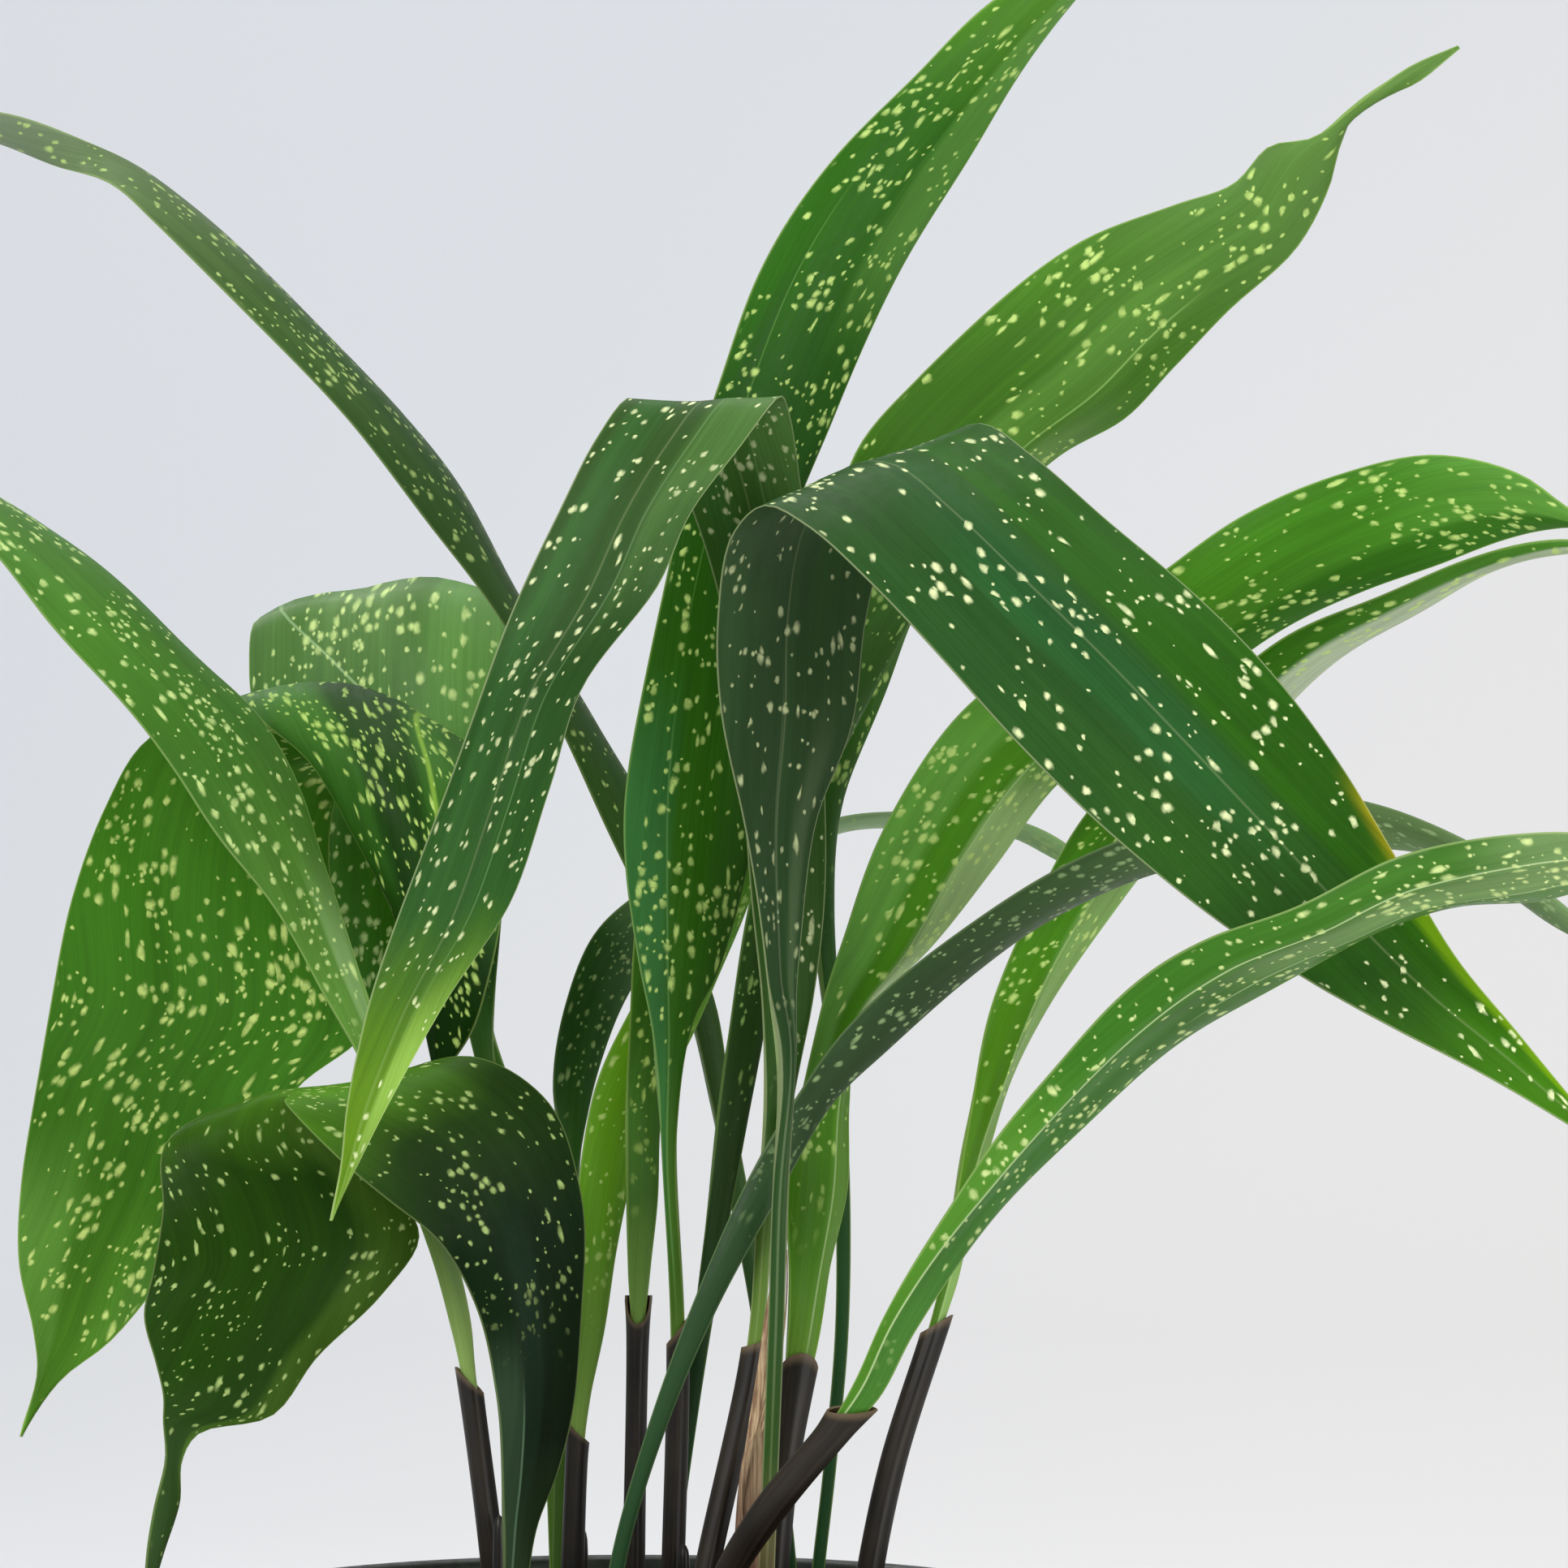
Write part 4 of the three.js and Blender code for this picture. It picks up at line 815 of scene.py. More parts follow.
GREENS = {
    "tall": dict(
        greens=[PALE_STALK, (0.2, (74, 110, 40)), (0.32, (46, 86, 24)), (0.5, (50, 96, 28)),
                (0.65, (34, 76, 20)), (0.85, (48, 98, 26)), (0.95, (80, 128, 46))],
        back=[(0.0, (60, 100, 44)), (1.0, (60, 110, 46))],
        spot=GREEN_CREAM, amount=0.4, seed=1.0,
        patches=[(0.3, 1.1, 0.74, 1.0, (92, 138, 66), 0.6), (-1.1, -0.4, 0.24, 0.5, (54, 108, 60), 0.6)],
        creases=[(-0.1, -0.5, 0.2, 0.5, (104, 152, 84), 0.45, 0.25),
                 (-0.55, -0.55, 0.56, 0.8, (104, 152, 70), 0.35, 0.2)],
    ),
    "front_arch": dict(
        greens=[PALE_STALK, (0.5, (52, 80, 38)), (0.65, (50, 78, 36)), (0.75, (42, 78, 32)),
                (0.85, (44, 84, 34)), (0.95, (104, 144, 44))],
        back=[PALE_STALK, (0.25, (44, 74, 28)), (0.4, (46, 76, 30)), (0.55, (66, 104, 46))],
        spot=CREAM, amount=0.17, size=0.85, seed=2.0, front=-1, rib=0.15, back_spots=0.7,
        patches=[(0.3, 1.1, 0.5, 0.7, (82, 118, 62), 0.65), (-0.8, -0.3, 0.5, 0.85, (58, 100, 50), 0.5),
                 (0.3, 1.1, 0.9, 1.1, (150, 188, 92), 0.7)],
        creases=[(0.3, 0.3, 0.5, 0.9, (110, 146, 90), 0.4, 0.25)],
    ),
    # Its grey-green patch from 0.22 to 0.42 along is a painted reflection, a band of sheen.
    "broad_arch": dict(
        greens=[(0.05, (104, 92, 64)), MID_STALK, (0.45, (40, 76, 30)), (0.55, (36, 70, 26)),
                (0.65, (38, 74, 32)), (0.75, (40, 78, 28)), (0.87, (36, 74, 20)), (0.96, (62, 110, 28))],
        back=[(0.05, (104, 92, 64)), (0.11, (46, 76, 30)), (0.2, (40, 70, 32)), (0.42, (42, 66, 36)),
              (0.52, (48, 76, 40))],
        spot=CREAM, amount=0.21, size=1.0, seed=3.0, front=-1, rib=0.15, back_spots=0.6,
        patches=[(-0.3, 0.2, 0.6, 0.8, (36, 84, 44), 0.5), (0.3, 1.1, 0.5, 0.95, (38, 84, 12), 0.65),
                 (0.4, 0.75, 0.22, 0.42, (88, 108, 74), 0.5), (0.75, 1.2, 0.86, 1.1, (116, 156, 34), 0.6),
                 (0.92, 1.2, 0.82, 0.85, (204, 184, 52), 0.9)],
        creases=[(-0.04, -0.04, 0.14, 0.44, (96, 118, 84), 0.35, 0.3)],
    ),
    "upper_right": dict(
        greens=[DARK_STALK, (0.34, (40, 76, 34)), (0.5, (60, 104, 36)), (0.64, (60, 102, 32)),
                (0.75, (68, 112, 38)), (0.85, (80, 118, 54)), (0.95, (88, 122, 60))],
        back=[DARK_STALK, (0.5, (60, 100, 44)), (0.9, (84, 124, 62))],
        spot=GREEN_CREAM, amount=0.34, seed=4.0,
        patches=[(-0.1, 0.55, 0.6, 0.82, (86, 128, 56), 0.7),
                 (0.55, 1.1, 0.62, 0.72, (112, 148, 82), 0.6)],
        creases=[(0.45, 0.45, 0.55, 0.8, (150, 190, 104), 0.6, 0.25)],
    ),
    "right_back": dict(
        greens=[PALE_STALK, (0.26, (68, 112, 32)), (0.45, (72, 124, 36)), (0.6, (74, 128, 36)),
                (0.75, (66, 118, 34)), (0.85, (66, 120, 38)), (0.95, (88, 138, 60))],
        back=[PALE_STALK, (0.4, (72, 108, 52)), (0.9, (100, 140, 76))],
        spot=GREEN_CREAM, amount=0.34, seed=5.0,
        patches=[(-1.1, -0.3, 0.36, 0.62, (108, 160, 78), 0.6),
                 (0.3, 1.1, 0.22, 0.36, (98, 134, 62), 0.6), (0.3, 1.1, 0.38, 0.58, (164, 192, 130), 0.8),
                 (0.35, 1.1, 0.6, 1.0, (36, 86, 14), 0.7)],
        creases=[(0.32, 0.32, 0.2, 0.6, (176, 200, 140), 0.5, 0.25)],
    ),
    "right_low": dict(
        greens=[PALE_STALK, (0.26, (72, 112, 36)), (0.4, (72, 116, 30)), (0.55, (70, 122, 36)),
                (0.75, (50, 100, 20)), (0.93, (76, 126, 48))],
        back=[PALE_STALK, (0.5, (110, 136, 90)), (0.9, (128, 150, 110))],
        spot=GREEN_CREAM, amount=0.34, seed=6.0,
        patches=[(0.05, 1.1, 0.22, 0.64, (132, 166, 98), 0.8),
                 (-0.25, 1.1, 0.64, 1.0, (180, 194, 164), 0.85)],
        creases=[(0.08, 0.08, 0.22, 0.6, (170, 200, 130), 0.5, 0.25)],
    ),
    "long_slanting": dict(
        greens=[DARK_STALK, (0.4, (44, 68, 36)), (0.65, (58, 84, 46)), (0.85, (94, 122, 74)),
                (0.95, (110, 138, 92))],
        back=[DARK_STALK, (0.9, (60, 84, 50))],
        spot=(150, 176, 120), amount=0.3, size=0.8, seed=7.0, shine=0.22,
    ),
    "right_front": dict(
        greens=[PALE_STALK, (0.2, (70, 118, 46)), (0.45, (68, 112, 54)), (0.6, (70, 110, 52)),
                (0.78, (88, 124, 66)), (0.93, (108, 136, 88))],
        back=[PALE_STALK, (0.5, (92, 124, 76)), (0.9, (104, 132, 88))],
        spot=(204, 222, 146), amount=0.36, size=0.85, seed=8.0,
        patches=[(-1.1, -0.35, 0.12, 0.52, (84, 134, 46), 0.7),
                 (-1.1, -0.4, 0.5, 0.85, (52, 104, 26), 0.75),
                 (-0.2, 0.4, 0.66, 0.95, (118, 146, 96), 0.6), (0.5, 1.1, 0.7, 0.95, (84, 126, 64), 0.6)],
        creases=[(-0.35, -0.35, 0.16, 0.95, (200, 220, 164), 0.6, 0.22),
                 (0.42, 0.42, 0.62, 0.98, (178, 200, 150), 0.5, 0.2)],
    ),
    "back_arch": dict(
        greens=[MID_STALK, (0.3, (44, 80, 30)), (0.55, (50, 86, 38)), (0.7, (120, 148, 102)),
                (0.86, (138, 166, 124)), (0.95, (130, 162, 110))],
        back=[MID_STALK, (0.4, (44, 70, 34)), (0.9, (92, 120, 80))],
        spot=(150, 176, 110), amount=0.3, size=0.8, seed=9.0,
    ),
    "upper_left": dict(
        greens=[DARK_STALK, (0.25, (62, 90, 46)), (0.45, (58, 86, 42)), (0.65, (56, 84, 42)),
                (0.76, (64, 92, 46)), (0.86, (86, 108, 68)), (0.95, (120, 136, 110))],
        back=[DARK_STALK, (0.5, (96, 116, 84)), (0.9, (122, 138, 112))],
        spot=(172, 198, 118), amount=0.34, size=0.9, seed=10.0,
        patches=[(-0.1, 1.1, 0.4, 0.76, (42, 76, 28), 0.6)],
    ),
    "broad_left": dict(
        greens=[MID_STALK, (0.34, (63, 112, 40)), (0.55, (77, 129, 46)), (0.7, (65, 117, 38)),
                (0.84, (64, 111, 38)), (0.94, (80, 127, 46))],
        back=[MID_STALK, (0.5, (58, 100, 40)), (0.9, (84, 126, 60))],
        spot=(206, 228, 130), amount=0.5, size=1.15, seed=11.0, front=-1, shine=0.1,
        patches=[(-1.1, -0.45, 0.84, 1.0, (100, 148, 66), 0.8), (0.1, 1.1, 0.2, 0.45, (40, 76, 22), 0.5)],
    ),
    "left_slanting": dict(
        greens=[(0.14, (150, 178, 104)), (0.26, (134, 162, 92)), (0.42, (96, 136, 62)),
                (0.65, (60, 102, 38)), (0.78, (64, 108, 38)), (0.86, (72, 114, 50)),
                (0.95, (86, 124, 62))],
        back=[PALE_STALK, (0.5, (84, 116, 64)), (0.9, (90, 126, 68))],
        spot=(190, 214, 134), amount=0.4, size=0.9, seed=12.0,
        patches=[(0.1, 0.9, 0.26, 0.55, (116, 144, 94), 0.7)],
    ),
    # Its near-black stops at 0.2 and 0.34 are painted shade on the part that faces away from the light.
    "folded_front": dict(
        greens=[(0.08, (40, 56, 34)), (0.2, (7, 20, 4)), (0.34, (12, 32, 10)), (0.44, (34, 56, 20)),
                (0.54, (78, 122, 40)), (0.64, (28, 56, 8)), (0.8, (28, 56, 9)), (0.95, (50, 72, 38))],
        back=[(0.08, (48, 64, 42)), (0.5, (50, 74, 34)), (0.9, (60, 90, 44))],
        spot=(160, 184, 110), amount=0.21, size=0.75, seed=13.0, shine=0.08,
        patches=[(-1.1, -0.6, 0.55, 0.9, (74, 104, 40), 0.5), (-1.1, -0.4, 0.0, 0.26, (50, 70, 50), 0.65),
                 (-0.35, 0.1, 0.12, 0.34, (46, 70, 54), 0.2)],
        creases=[(-0.4, -0.4, 0.02, 0.22, (96, 124, 96), 0.6, 0.25)],
    ),
    "middle_left": dict(
        greens=[MID_STALK, (0.35, (48, 84, 40)), (0.6, (60, 98, 44)), (0.75, (62, 104, 42)),
                (0.85, (44, 84, 28)), (0.95, (16, 46, 8))],
        back=[MID_STALK, (0.5, (48, 84, 36)), (0.9, (60, 100, 44))],
        spot=(172, 202, 106), amount=0.5, size=1.0, seed=14.0, front=-1, shine=0.1,
        patches=[(-0.45, 0.2, 0.6, 1.0, (14, 36, 10), 0.7), (-1.1, 1.1, 0.88, 1.1, (14, 38, 4), 0.8),
                 (0.45, 1.1, 0.6, 0.8, (44, 84, 28), 0.6)],
        creases=[(0.3, 0.3, 0.62, 0.9, (140, 178, 66), 0.6, 0.8)],
    ),
    "back_left": dict(
        greens=[MID_STALK, (0.32, (46, 86, 20)), (0.5, (70, 114, 48)), (0.66, (80, 113, 60)),
                (0.78, (74, 114, 56)), (0.85, (54, 110, 8)), (0.95, (52, 110, 12))],
        back=[MID_STALK, (0.5, (64, 106, 44)), (0.9, (88, 128, 60))],
        spot=(196, 220, 140), amount=0.6, size=1.05, seed=21.0, front=-1,
        patches=[(-0.5, 0.1, 0.6, 0.7, (118, 146, 100), 0.35), (0.3, 1.1, 0.6, 0.8, (106, 152, 80), 0.5)],
        creases=[(-0.85, 0.1, 0.672, 0.756, (156, 186, 134), 0.65, 0.45)],
    ),
    "middle": dict(
        greens=[(0.2, (140, 170, 96)), (0.3, (116, 148, 76)), (0.4, (64, 100, 42)), (0.55, (60, 102, 34)),
                (0.95, (84, 124, 52))],
        back=[(0.1, (92, 118, 60)), (0.9, (64, 100, 44))],
        spot=(178, 206, 106), amount=0.36, seed=16.0,
    ),
    "young_left": dict(
        greens=[(0.2, (140, 168, 92)), (0.32, (118, 154, 74)), (0.45, (94, 140, 46)),
                (0.65, (104, 156, 46)), (0.9, (80, 130, 46))],
        back=[(0.1, (90, 116, 56)), (0.9, (72, 112, 46))],
        spot=GREEN_CREAM, amount=0.4, size=0.85, seed=17.0,
    ),
    "narrow_middle": dict(
        greens=[DARK_STALK, (0.4, (34, 54, 24)), (0.6, (44, 72, 30)), (0.95, (60, 100, 40))],
        back=[DARK_STALK, (0.9, (44, 76, 34))],
        spot=(150, 184, 100), amount=0.3, size=0.8, seed=18.0,
    ),
}


def as_colours(value):
    """Turns every three whole numbers in the entry into a colour in linear light."""
    if isinstance(value, dict):
        return {key: as_colours(part) for key, part in value.items()}
    if isinstance(value, tuple) and len(value) == 3 and all(isinstance(v, int) for v in value):
        return colour(*value)
    if isinstance(value, (tuple, list)):
        return [as_colours(part) for part in value]
    return value


def settle(piece, finish, node):
    """Gives the piece its finish, hangs it under the root and hides the solid it stands for."""
    piece.data.materials.clear()
    piece.data.materials.append(finish)
    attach(piece, "root")
    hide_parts(node)


for leaf_name, piece in leaves.items():
    settle(piece, leaf_finish(leaf_name, **as_colours(GREENS[leaf_name])), "leaf_" + leaf_name)
print("greens on", len(GREENS), "leaves")

# %% [markdown]
# ## The dark scales
#
# A dark, tough scale wraps the foot of most stalks. It is a thin sleeve whose lip is cut on the
# slant. A tube with thickness would do, but the lip and the overlap are easier to say as rings: the
# same rolled grid as a leaf, with its columns round the stalk and its rows up the outside, over
# the lip and down the inside.

# %% The dark scales
SHEATH_FOOT = 176
SHEATH_WALL = 0.7
SHEATH_ROOM = 2.8
SHEATH_DEPTH = 7.4
SHEATH_COLUMNS = 33
SHEATH_RISE = 30
LIP_EASE = 6
RIDGES = [(0.08, 5, 0.6), (0.04, 9, 0.0)]
STALK_PLACES = np.linspace(0, 0.5, 1500)
STALK_STEP = 0.01


def stalk_frames(leaf, heights):
    """A stalk's middles, its sideways, faceward and upward directions and its widths."""
    points = edge_points(leaf)
    climb = np.maximum.accumulate(sum(both_edges(points, STALK_PLACES))[:, 2] / 2)
    at = np.interp(heights, climb, STALK_PLACES)
    left, right = both_edges(points, at)
    way = unit(sum(both_edges(points, at + STALK_STEP)) - left - right)
    width = np.linalg.norm(right - left, axis=1)
    side = (right - left) / width[:, None]
    middle = (left + right) / 2
    middle[:, 2] = heights
    return middle, side, unit(np.cross(side, way)), way, width


def make_sheath(name, leaf):
    top = sighted(0, leaf["sheath"], leaf["rows"][1][2])[2]
    heights = np.linspace(SHEATH_FOOT, top, SHEATH_RISE)
    middle, side, face, way, width = stalk_frames(leaf, heights)
    wide = width + leaf.get("sheath_room", SHEATH_ROOM)
    slant, point = leaf["lip"]
    turn = np.linspace(0, 2 * math.pi, SHEATH_COLUMNS)
    climb = np.linspace(0, 1, SHEATH_RISE)
    ridges = sum(height * np.sin(turn * times_round + shift) for height, times_round, shift in RIDGES)
    lip = slant * np.cos(turn) + point * np.maximum(0, np.sin(turn))
    outside, inside = [], []
    for rings, shrink, relief in ((outside, 0, ridges), (inside, 2 * SHEATH_WALL, 0)):
        half_side = (wide[:, None] - shrink) / 2 + relief
        half_face = (SHEATH_DEPTH - shrink) / 2 + relief
        ring = middle[:, None] + side[:, None] * (np.cos(turn) * half_side)[..., None]
        ring = ring + face[:, None] * (np.sin(turn) * half_face)[None, :, None]
        rings.extend(ring + way[:, None] * (climb[:, None] ** LIP_EASE * lip)[..., None])
    places = np.array(outside + inside[::-1] + outside[:1]) * MM
    piece, row, column = rolled_grid(name, SHEATH_COLUMNS, len(places), places)
    up = np.concatenate([climb, climb[::-1], climb[:1]])
    keep_values(piece.data, share=up[row])
    round_length = turn * wide.mean() / 2 * MM
    rise = np.concatenate([heights, heights[::-1], heights[:1]]) * MM
    keep_map(piece.data, round_length[column], rise[row])
    return close_mesh(piece)


print("scale tools ready")

# %% [markdown]
# ### The scale's finish
#
# The scales are purple brown, almost black when damp, with fine streaks along the stalk. Their foot
# is earthier and their lip has dried pale. The map round the sleeve carries the streaks.

# %% The scale's finish
SCALE_SHINE = 0.3


def sheath_finish():
    finish, tree, shader = new_finish("scale finish")
    place = map_place(tree)
    streaks = cloud(tree, stretched(tree, place, (1, 0.03, 1)), 0.0016, 2.0)
    patches = cloud(tree, stretched(tree, place, (1, 0.3, 1), (0.3, 0.1, 0)), 0.014, 3.0)
    share = kept_value(tree, "share")
    body = blend_colours(tree, spread(tree, patches, 0.38, 0.66), colour(20, 17, 12), colour(42, 35, 26))
    streaked = times(tree, spread(tree, streaks, 0.5, 0.75), 0.3)
    body = blend_colours(tree, streaked, body, colour(74, 64, 50))
    foot = times(tree, spread(tree, share, 0.35, 0.0), 0.25)
    body = blend_colours(tree, foot, body, colour(60, 50, 34))
    lip = times(tree, spread(tree, share, 0.965, 1.0), 0.6)
    body = blend_colours(tree, lip, body, colour(118, 100, 74))
    rough = spread(tree, patches, 0.3, 0.7, 0.3, 0.46)
    dress(tree, shader, body, rough, streaks, 0.25, 0.0003)
    shader.inputs["Specular IOR Level"].default_value = SCALE_SHINE
    return finish


scale_finish = sheath_finish()
wrapped = {leaf_name: leaf for leaf_name, leaf in LEAVES.items() if "sheath" in leaf}
for leaf_name, leaf in wrapped.items():
    sleeve = make_sheath(f"scale_{leaf_name}_fine", leaf)
    settle(sleeve, scale_finish, "sheath_" + leaf_name)
print("scales on", len(wrapped), "stalks")

# %% [markdown]
# ## The dry scale
#
# One old scale has dried to tan paper between the middle stalks, split, with loose fibres at its
# top. The sheet is made as a small leaf. The fibres are thin strands, each a curve with a round
# section turned into a mesh, with its foot inside the sheet.

# %% The dry scale
DRY_SCALE = {"fold": 0.2, "wave": 0.3, "rows": [
    [32, 196, -48, 40, 196, -46.5], [33.5, 225, -48, 41, 228, -46], [38, 255, -47.5, 44, 258, -46],
    [42.5, 285, -47, 46, 285, -46], [47, 310, -47, 47.8, 310, -47],
]}
DRY_ROWS = 60
FIBRES = [
    [(37, 232, -48.5), (42, 262, -49.5), (45, 292, -49), (46.5, 318, -48)],
    [(34, 214, -49), (35.5, 236, -51), (40, 248, -52), (44, 262, -51)],
    [(39, 240, -48), (47.5, 262, -50), (49, 284, -50), (48.4, 300, -49)],
    [(36, 205, -49), (33, 222, -51), (34.5, 238, -52), (38, 243, -52)],
]
FIBRE_RADIUS = 0.35
FIBRE_SWELL = 1.3


def strand(name, points, radius):
    """A thin strand through the points, tapering to its end."""
    line = bpy.data.curves.new(name, "CURVE")
    line.dimensions = "3D"
    line.bevel_depth = radius * MM
    line.bevel_resolution = 2
    line.use_fill_caps = True
    spline = line.splines.new("NURBS")
    spline.points.add(len(points) - 1)
    for number, (point, at) in enumerate(zip(spline.points, points)):
        point.co = (*(v * MM for v in sighted(*at)), 1)
        point.radius = FIBRE_SWELL - number / len(points)
    spline.use_endpoint_u = True
    spline.order_u = 4
    spline.resolution_u = 8
    piece = bpy.data.objects.new(name, line)
    bpy.context.scene.collection.objects.link(piece)
    bpy.ops.object.select_all(action="DESELECT")
    piece.select_set(True)
    bpy.context.view_layer.objects.active = piece
    bpy.ops.object.convert(target="MESH")
    return bpy.context.object


print("strand tool ready")

# %% [markdown]
# ### The dry scale's finish
#
# The old scale is fibrous, tan and pale by turns, and still brown and earthy at its foot. Long
# streaks of noise along its height make the fibres. A picture of bast could be wrapped round it, but
# noise needs no map and also covers the loose fibres.

# %% The dry scale's finish
BROWN_TOP = 0.255
BROWN_FOOT = 0.215


def paper_finish():
    """Tan and fibrous, browner in patches and towards the foot."""
    finish, tree, shader = new_finish("dry scale finish")
    place = object_place(tree)
    grain = cloud(tree, stretched(tree, place, (1, 1, 0.05)), 0.0012, 4.0)
    patch = times(tree, spread(tree, cloud(tree, place, 0.012, 3.0), 0.5, 0.7), 0.6)
    body = blend_colours(tree, spread(tree, grain, 0.35, 0.65), colour(128, 96, 68), colour(206, 180, 142))
    height = add_node(tree, "SeparateXYZ", {0: place}).outputs[2]
    brown = calculate(tree, "MAXIMUM", patch, spread(tree, height, BROWN_TOP, BROWN_FOOT))
    body = blend_colours(tree, times(tree, brown, 0.8), body, colour(98, 68, 50))
    dress(tree, shader, body, spread(tree, grain, 0.3, 0.7, 0.6, 0.85), grain, 0.7, 0.0006)
    return finish


dry_finish = paper_finish()
settle(make_leaf("dry_scale_fine", DRY_SCALE, DRY_ROWS), dry_finish, "dry_sheath")
for number, points in enumerate(FIBRES):
    fibre = strand(f"dry_fibre_{number + 1}", points, FIBRE_RADIUS)
    settle(fibre, dry_finish, "dry_sheath")
print("dry scale with", len(FIBRES), "fibres")

# %% [markdown]
# ## Round pieces
#
# The pot, the compost and the small pointed scales are round about an upright line. Spinning an
# outline would leave a seam to close. Here a disc is extruded ring by ring and each ring is widened
# or narrowed, which closes the piece by itself.

# %% Round pieces
HARD_ANGLE = math.radians(40)


def turned_piece(name, profile, sides, middle=(0, 0)):
    """A closed round piece from (radius, height) rings in millimetres."""
    bpy.ops.object.select_all(action="DESELECT")
    radius, height = profile[0]
    across, depth = (v * MM for v in middle)
    bpy.ops.mesh.primitive_circle_add(
        vertices=sides, radius=radius * MM, fill_type="NGON", location=(across, depth, height * MM)
    )
    bpy.ops.object.transform_apply(location=True)
    piece = bpy.context.object
    piece.name = name
    bpy.ops.object.mode_set(mode="EDIT")
    bpy.ops.mesh.select_all(action="SELECT")
    for next_radius, next_height in profile[1:]:
        rise = (0, 0, (next_height - height) * MM)
        bpy.ops.mesh.extrude_region_move(TRANSFORM_OT_translate={"value": rise})
        grow = next_radius / radius
        centre = (across, depth, next_height * MM)
        bpy.ops.transform.resize(value=(grow, grow, 1), center_override=centre)
        radius, height = next_radius, next_height
    bpy.ops.mesh.select_all(action="SELECT")
    bpy.ops.mesh.normals_make_consistent(inside=False)
    bpy.ops.object.mode_set(mode="OBJECT")
    bpy.ops.object.shade_smooth_by_angle(angle=HARD_ANGLE)
    return piece


def subtract(piece, cutter):
    """Cuts one piece out of another and removes the cutter."""
    bpy.ops.object.select_all(action="DESELECT")
    bpy.context.view_layer.objects.active = piece
    piece.select_set(True)
    cut = piece.modifiers.new("cut", "BOOLEAN")
    cut.operation = "DIFFERENCE"
    cut.object = cutter
    cut.solver = "EXACT"
    bpy.ops.object.modifier_apply(modifier=cut.name)
    bpy.data.objects.remove(cutter)


print("round pieces ready")

# %% [markdown]
# ## The nursery pot
#
# A thin tapered wall, a rolled lip for stiffness and a floor with eight drain holes near its edge.
# The photograph shows only the far rim, so the rest is plain. The plastic is almost black with a
# green cast, faintly streaked by the mould and dusted at the rim.

# %% The nursery pot
POT_HEIGHT = 195
RIM_RADIUS = 125
FOOT_RADIUS = 92
WALL = 2.5
LIP_HEIGHT = 16
LIP_OUT = 4
LIP_ROLL = 2
LIP_START = 0.2
FLOOR = 3
DRAINS = 8
DRAIN_CIRCLE = 62
DRAIN_RADIUS = 6
POT_SIDES = 128
DRAIN_SIDES = 32
WALL_TOP = RIM_RADIUS - LIP_OUT


def outer_radius(height):
    return FOOT_RADIUS + (WALL_TOP - FOOT_RADIUS) * height / POT_HEIGHT


def inner_radius(height):
    return outer_radius(height) - WALL


def pot_profile():
    """Rings from the foot up the outside, over the rolled lip and down to the floor."""
    lip_foot = POT_HEIGHT - LIP_HEIGHT
    lip_top = POT_HEIGHT - LIP_ROLL
    rings = [(FOOT_RADIUS - 2, 0), (FOOT_RADIUS - 0.8, 0.3), (FOOT_RADIUS, 1.4)]
    rings += [(outer_radius(z), z) for z in (2, 40, 80, 120, lip_foot - 0.3)]
    rings += [(outer_radius(lip_foot) + 0.4, lip_foot), (RIM_RADIUS - 1, lip_foot)]
    rings += [(RIM_RADIUS, lip_foot + 1), (RIM_RADIUS, lip_top)]
    middle = (RIM_RADIUS + inner_radius(POT_HEIGHT)) / 2
    reach = (RIM_RADIUS - inner_radius(POT_HEIGHT)) / 2
    for turn in np.linspace(LIP_START, math.pi - LIP_START, 7):
        rings.append((middle + reach * math.cos(turn), lip_top + LIP_ROLL * math.sin(turn)))
    rings += [(inner_radius(z), z) for z in (POT_HEIGHT - 3, 120, 60, FLOOR + 2)]
    return rings + [(inner_radius(FLOOR) - 1, FLOOR)]


def make_pot():
    pot = turned_piece("pot_fine", pot_profile(), POT_SIDES)
    for number in range(DRAINS):
        turn = 2 * math.pi * number / DRAINS
        middle = (DRAIN_CIRCLE * math.cos(turn), DRAIN_CIRCLE * math.sin(turn))
        hole = [(DRAIN_RADIUS, -FLOOR), (DRAIN_RADIUS, 2 * FLOOR)]
        subtract(pot, turned_piece("drill", hole, DRAIN_SIDES, middle))
    return pot


pot = make_pot()
print("pot faces", len(pot.data.polygons))

# %% [markdown]
# ### The pot's plastic
#
# The moulded plastic is dull, with faint upright streaks and a little yellowish dust that gathers
# towards the rim. Both come from noise stretched along or across the wall, so the rolled lip needs no
# map of its own. A photograph of plastic would show a seam somewhere on the round wall.

# %% The pot's plastic
DUSTY_FROM = 0.15
DUSTY_AT = 0.195
PLASTIC_SHINE = 0.35


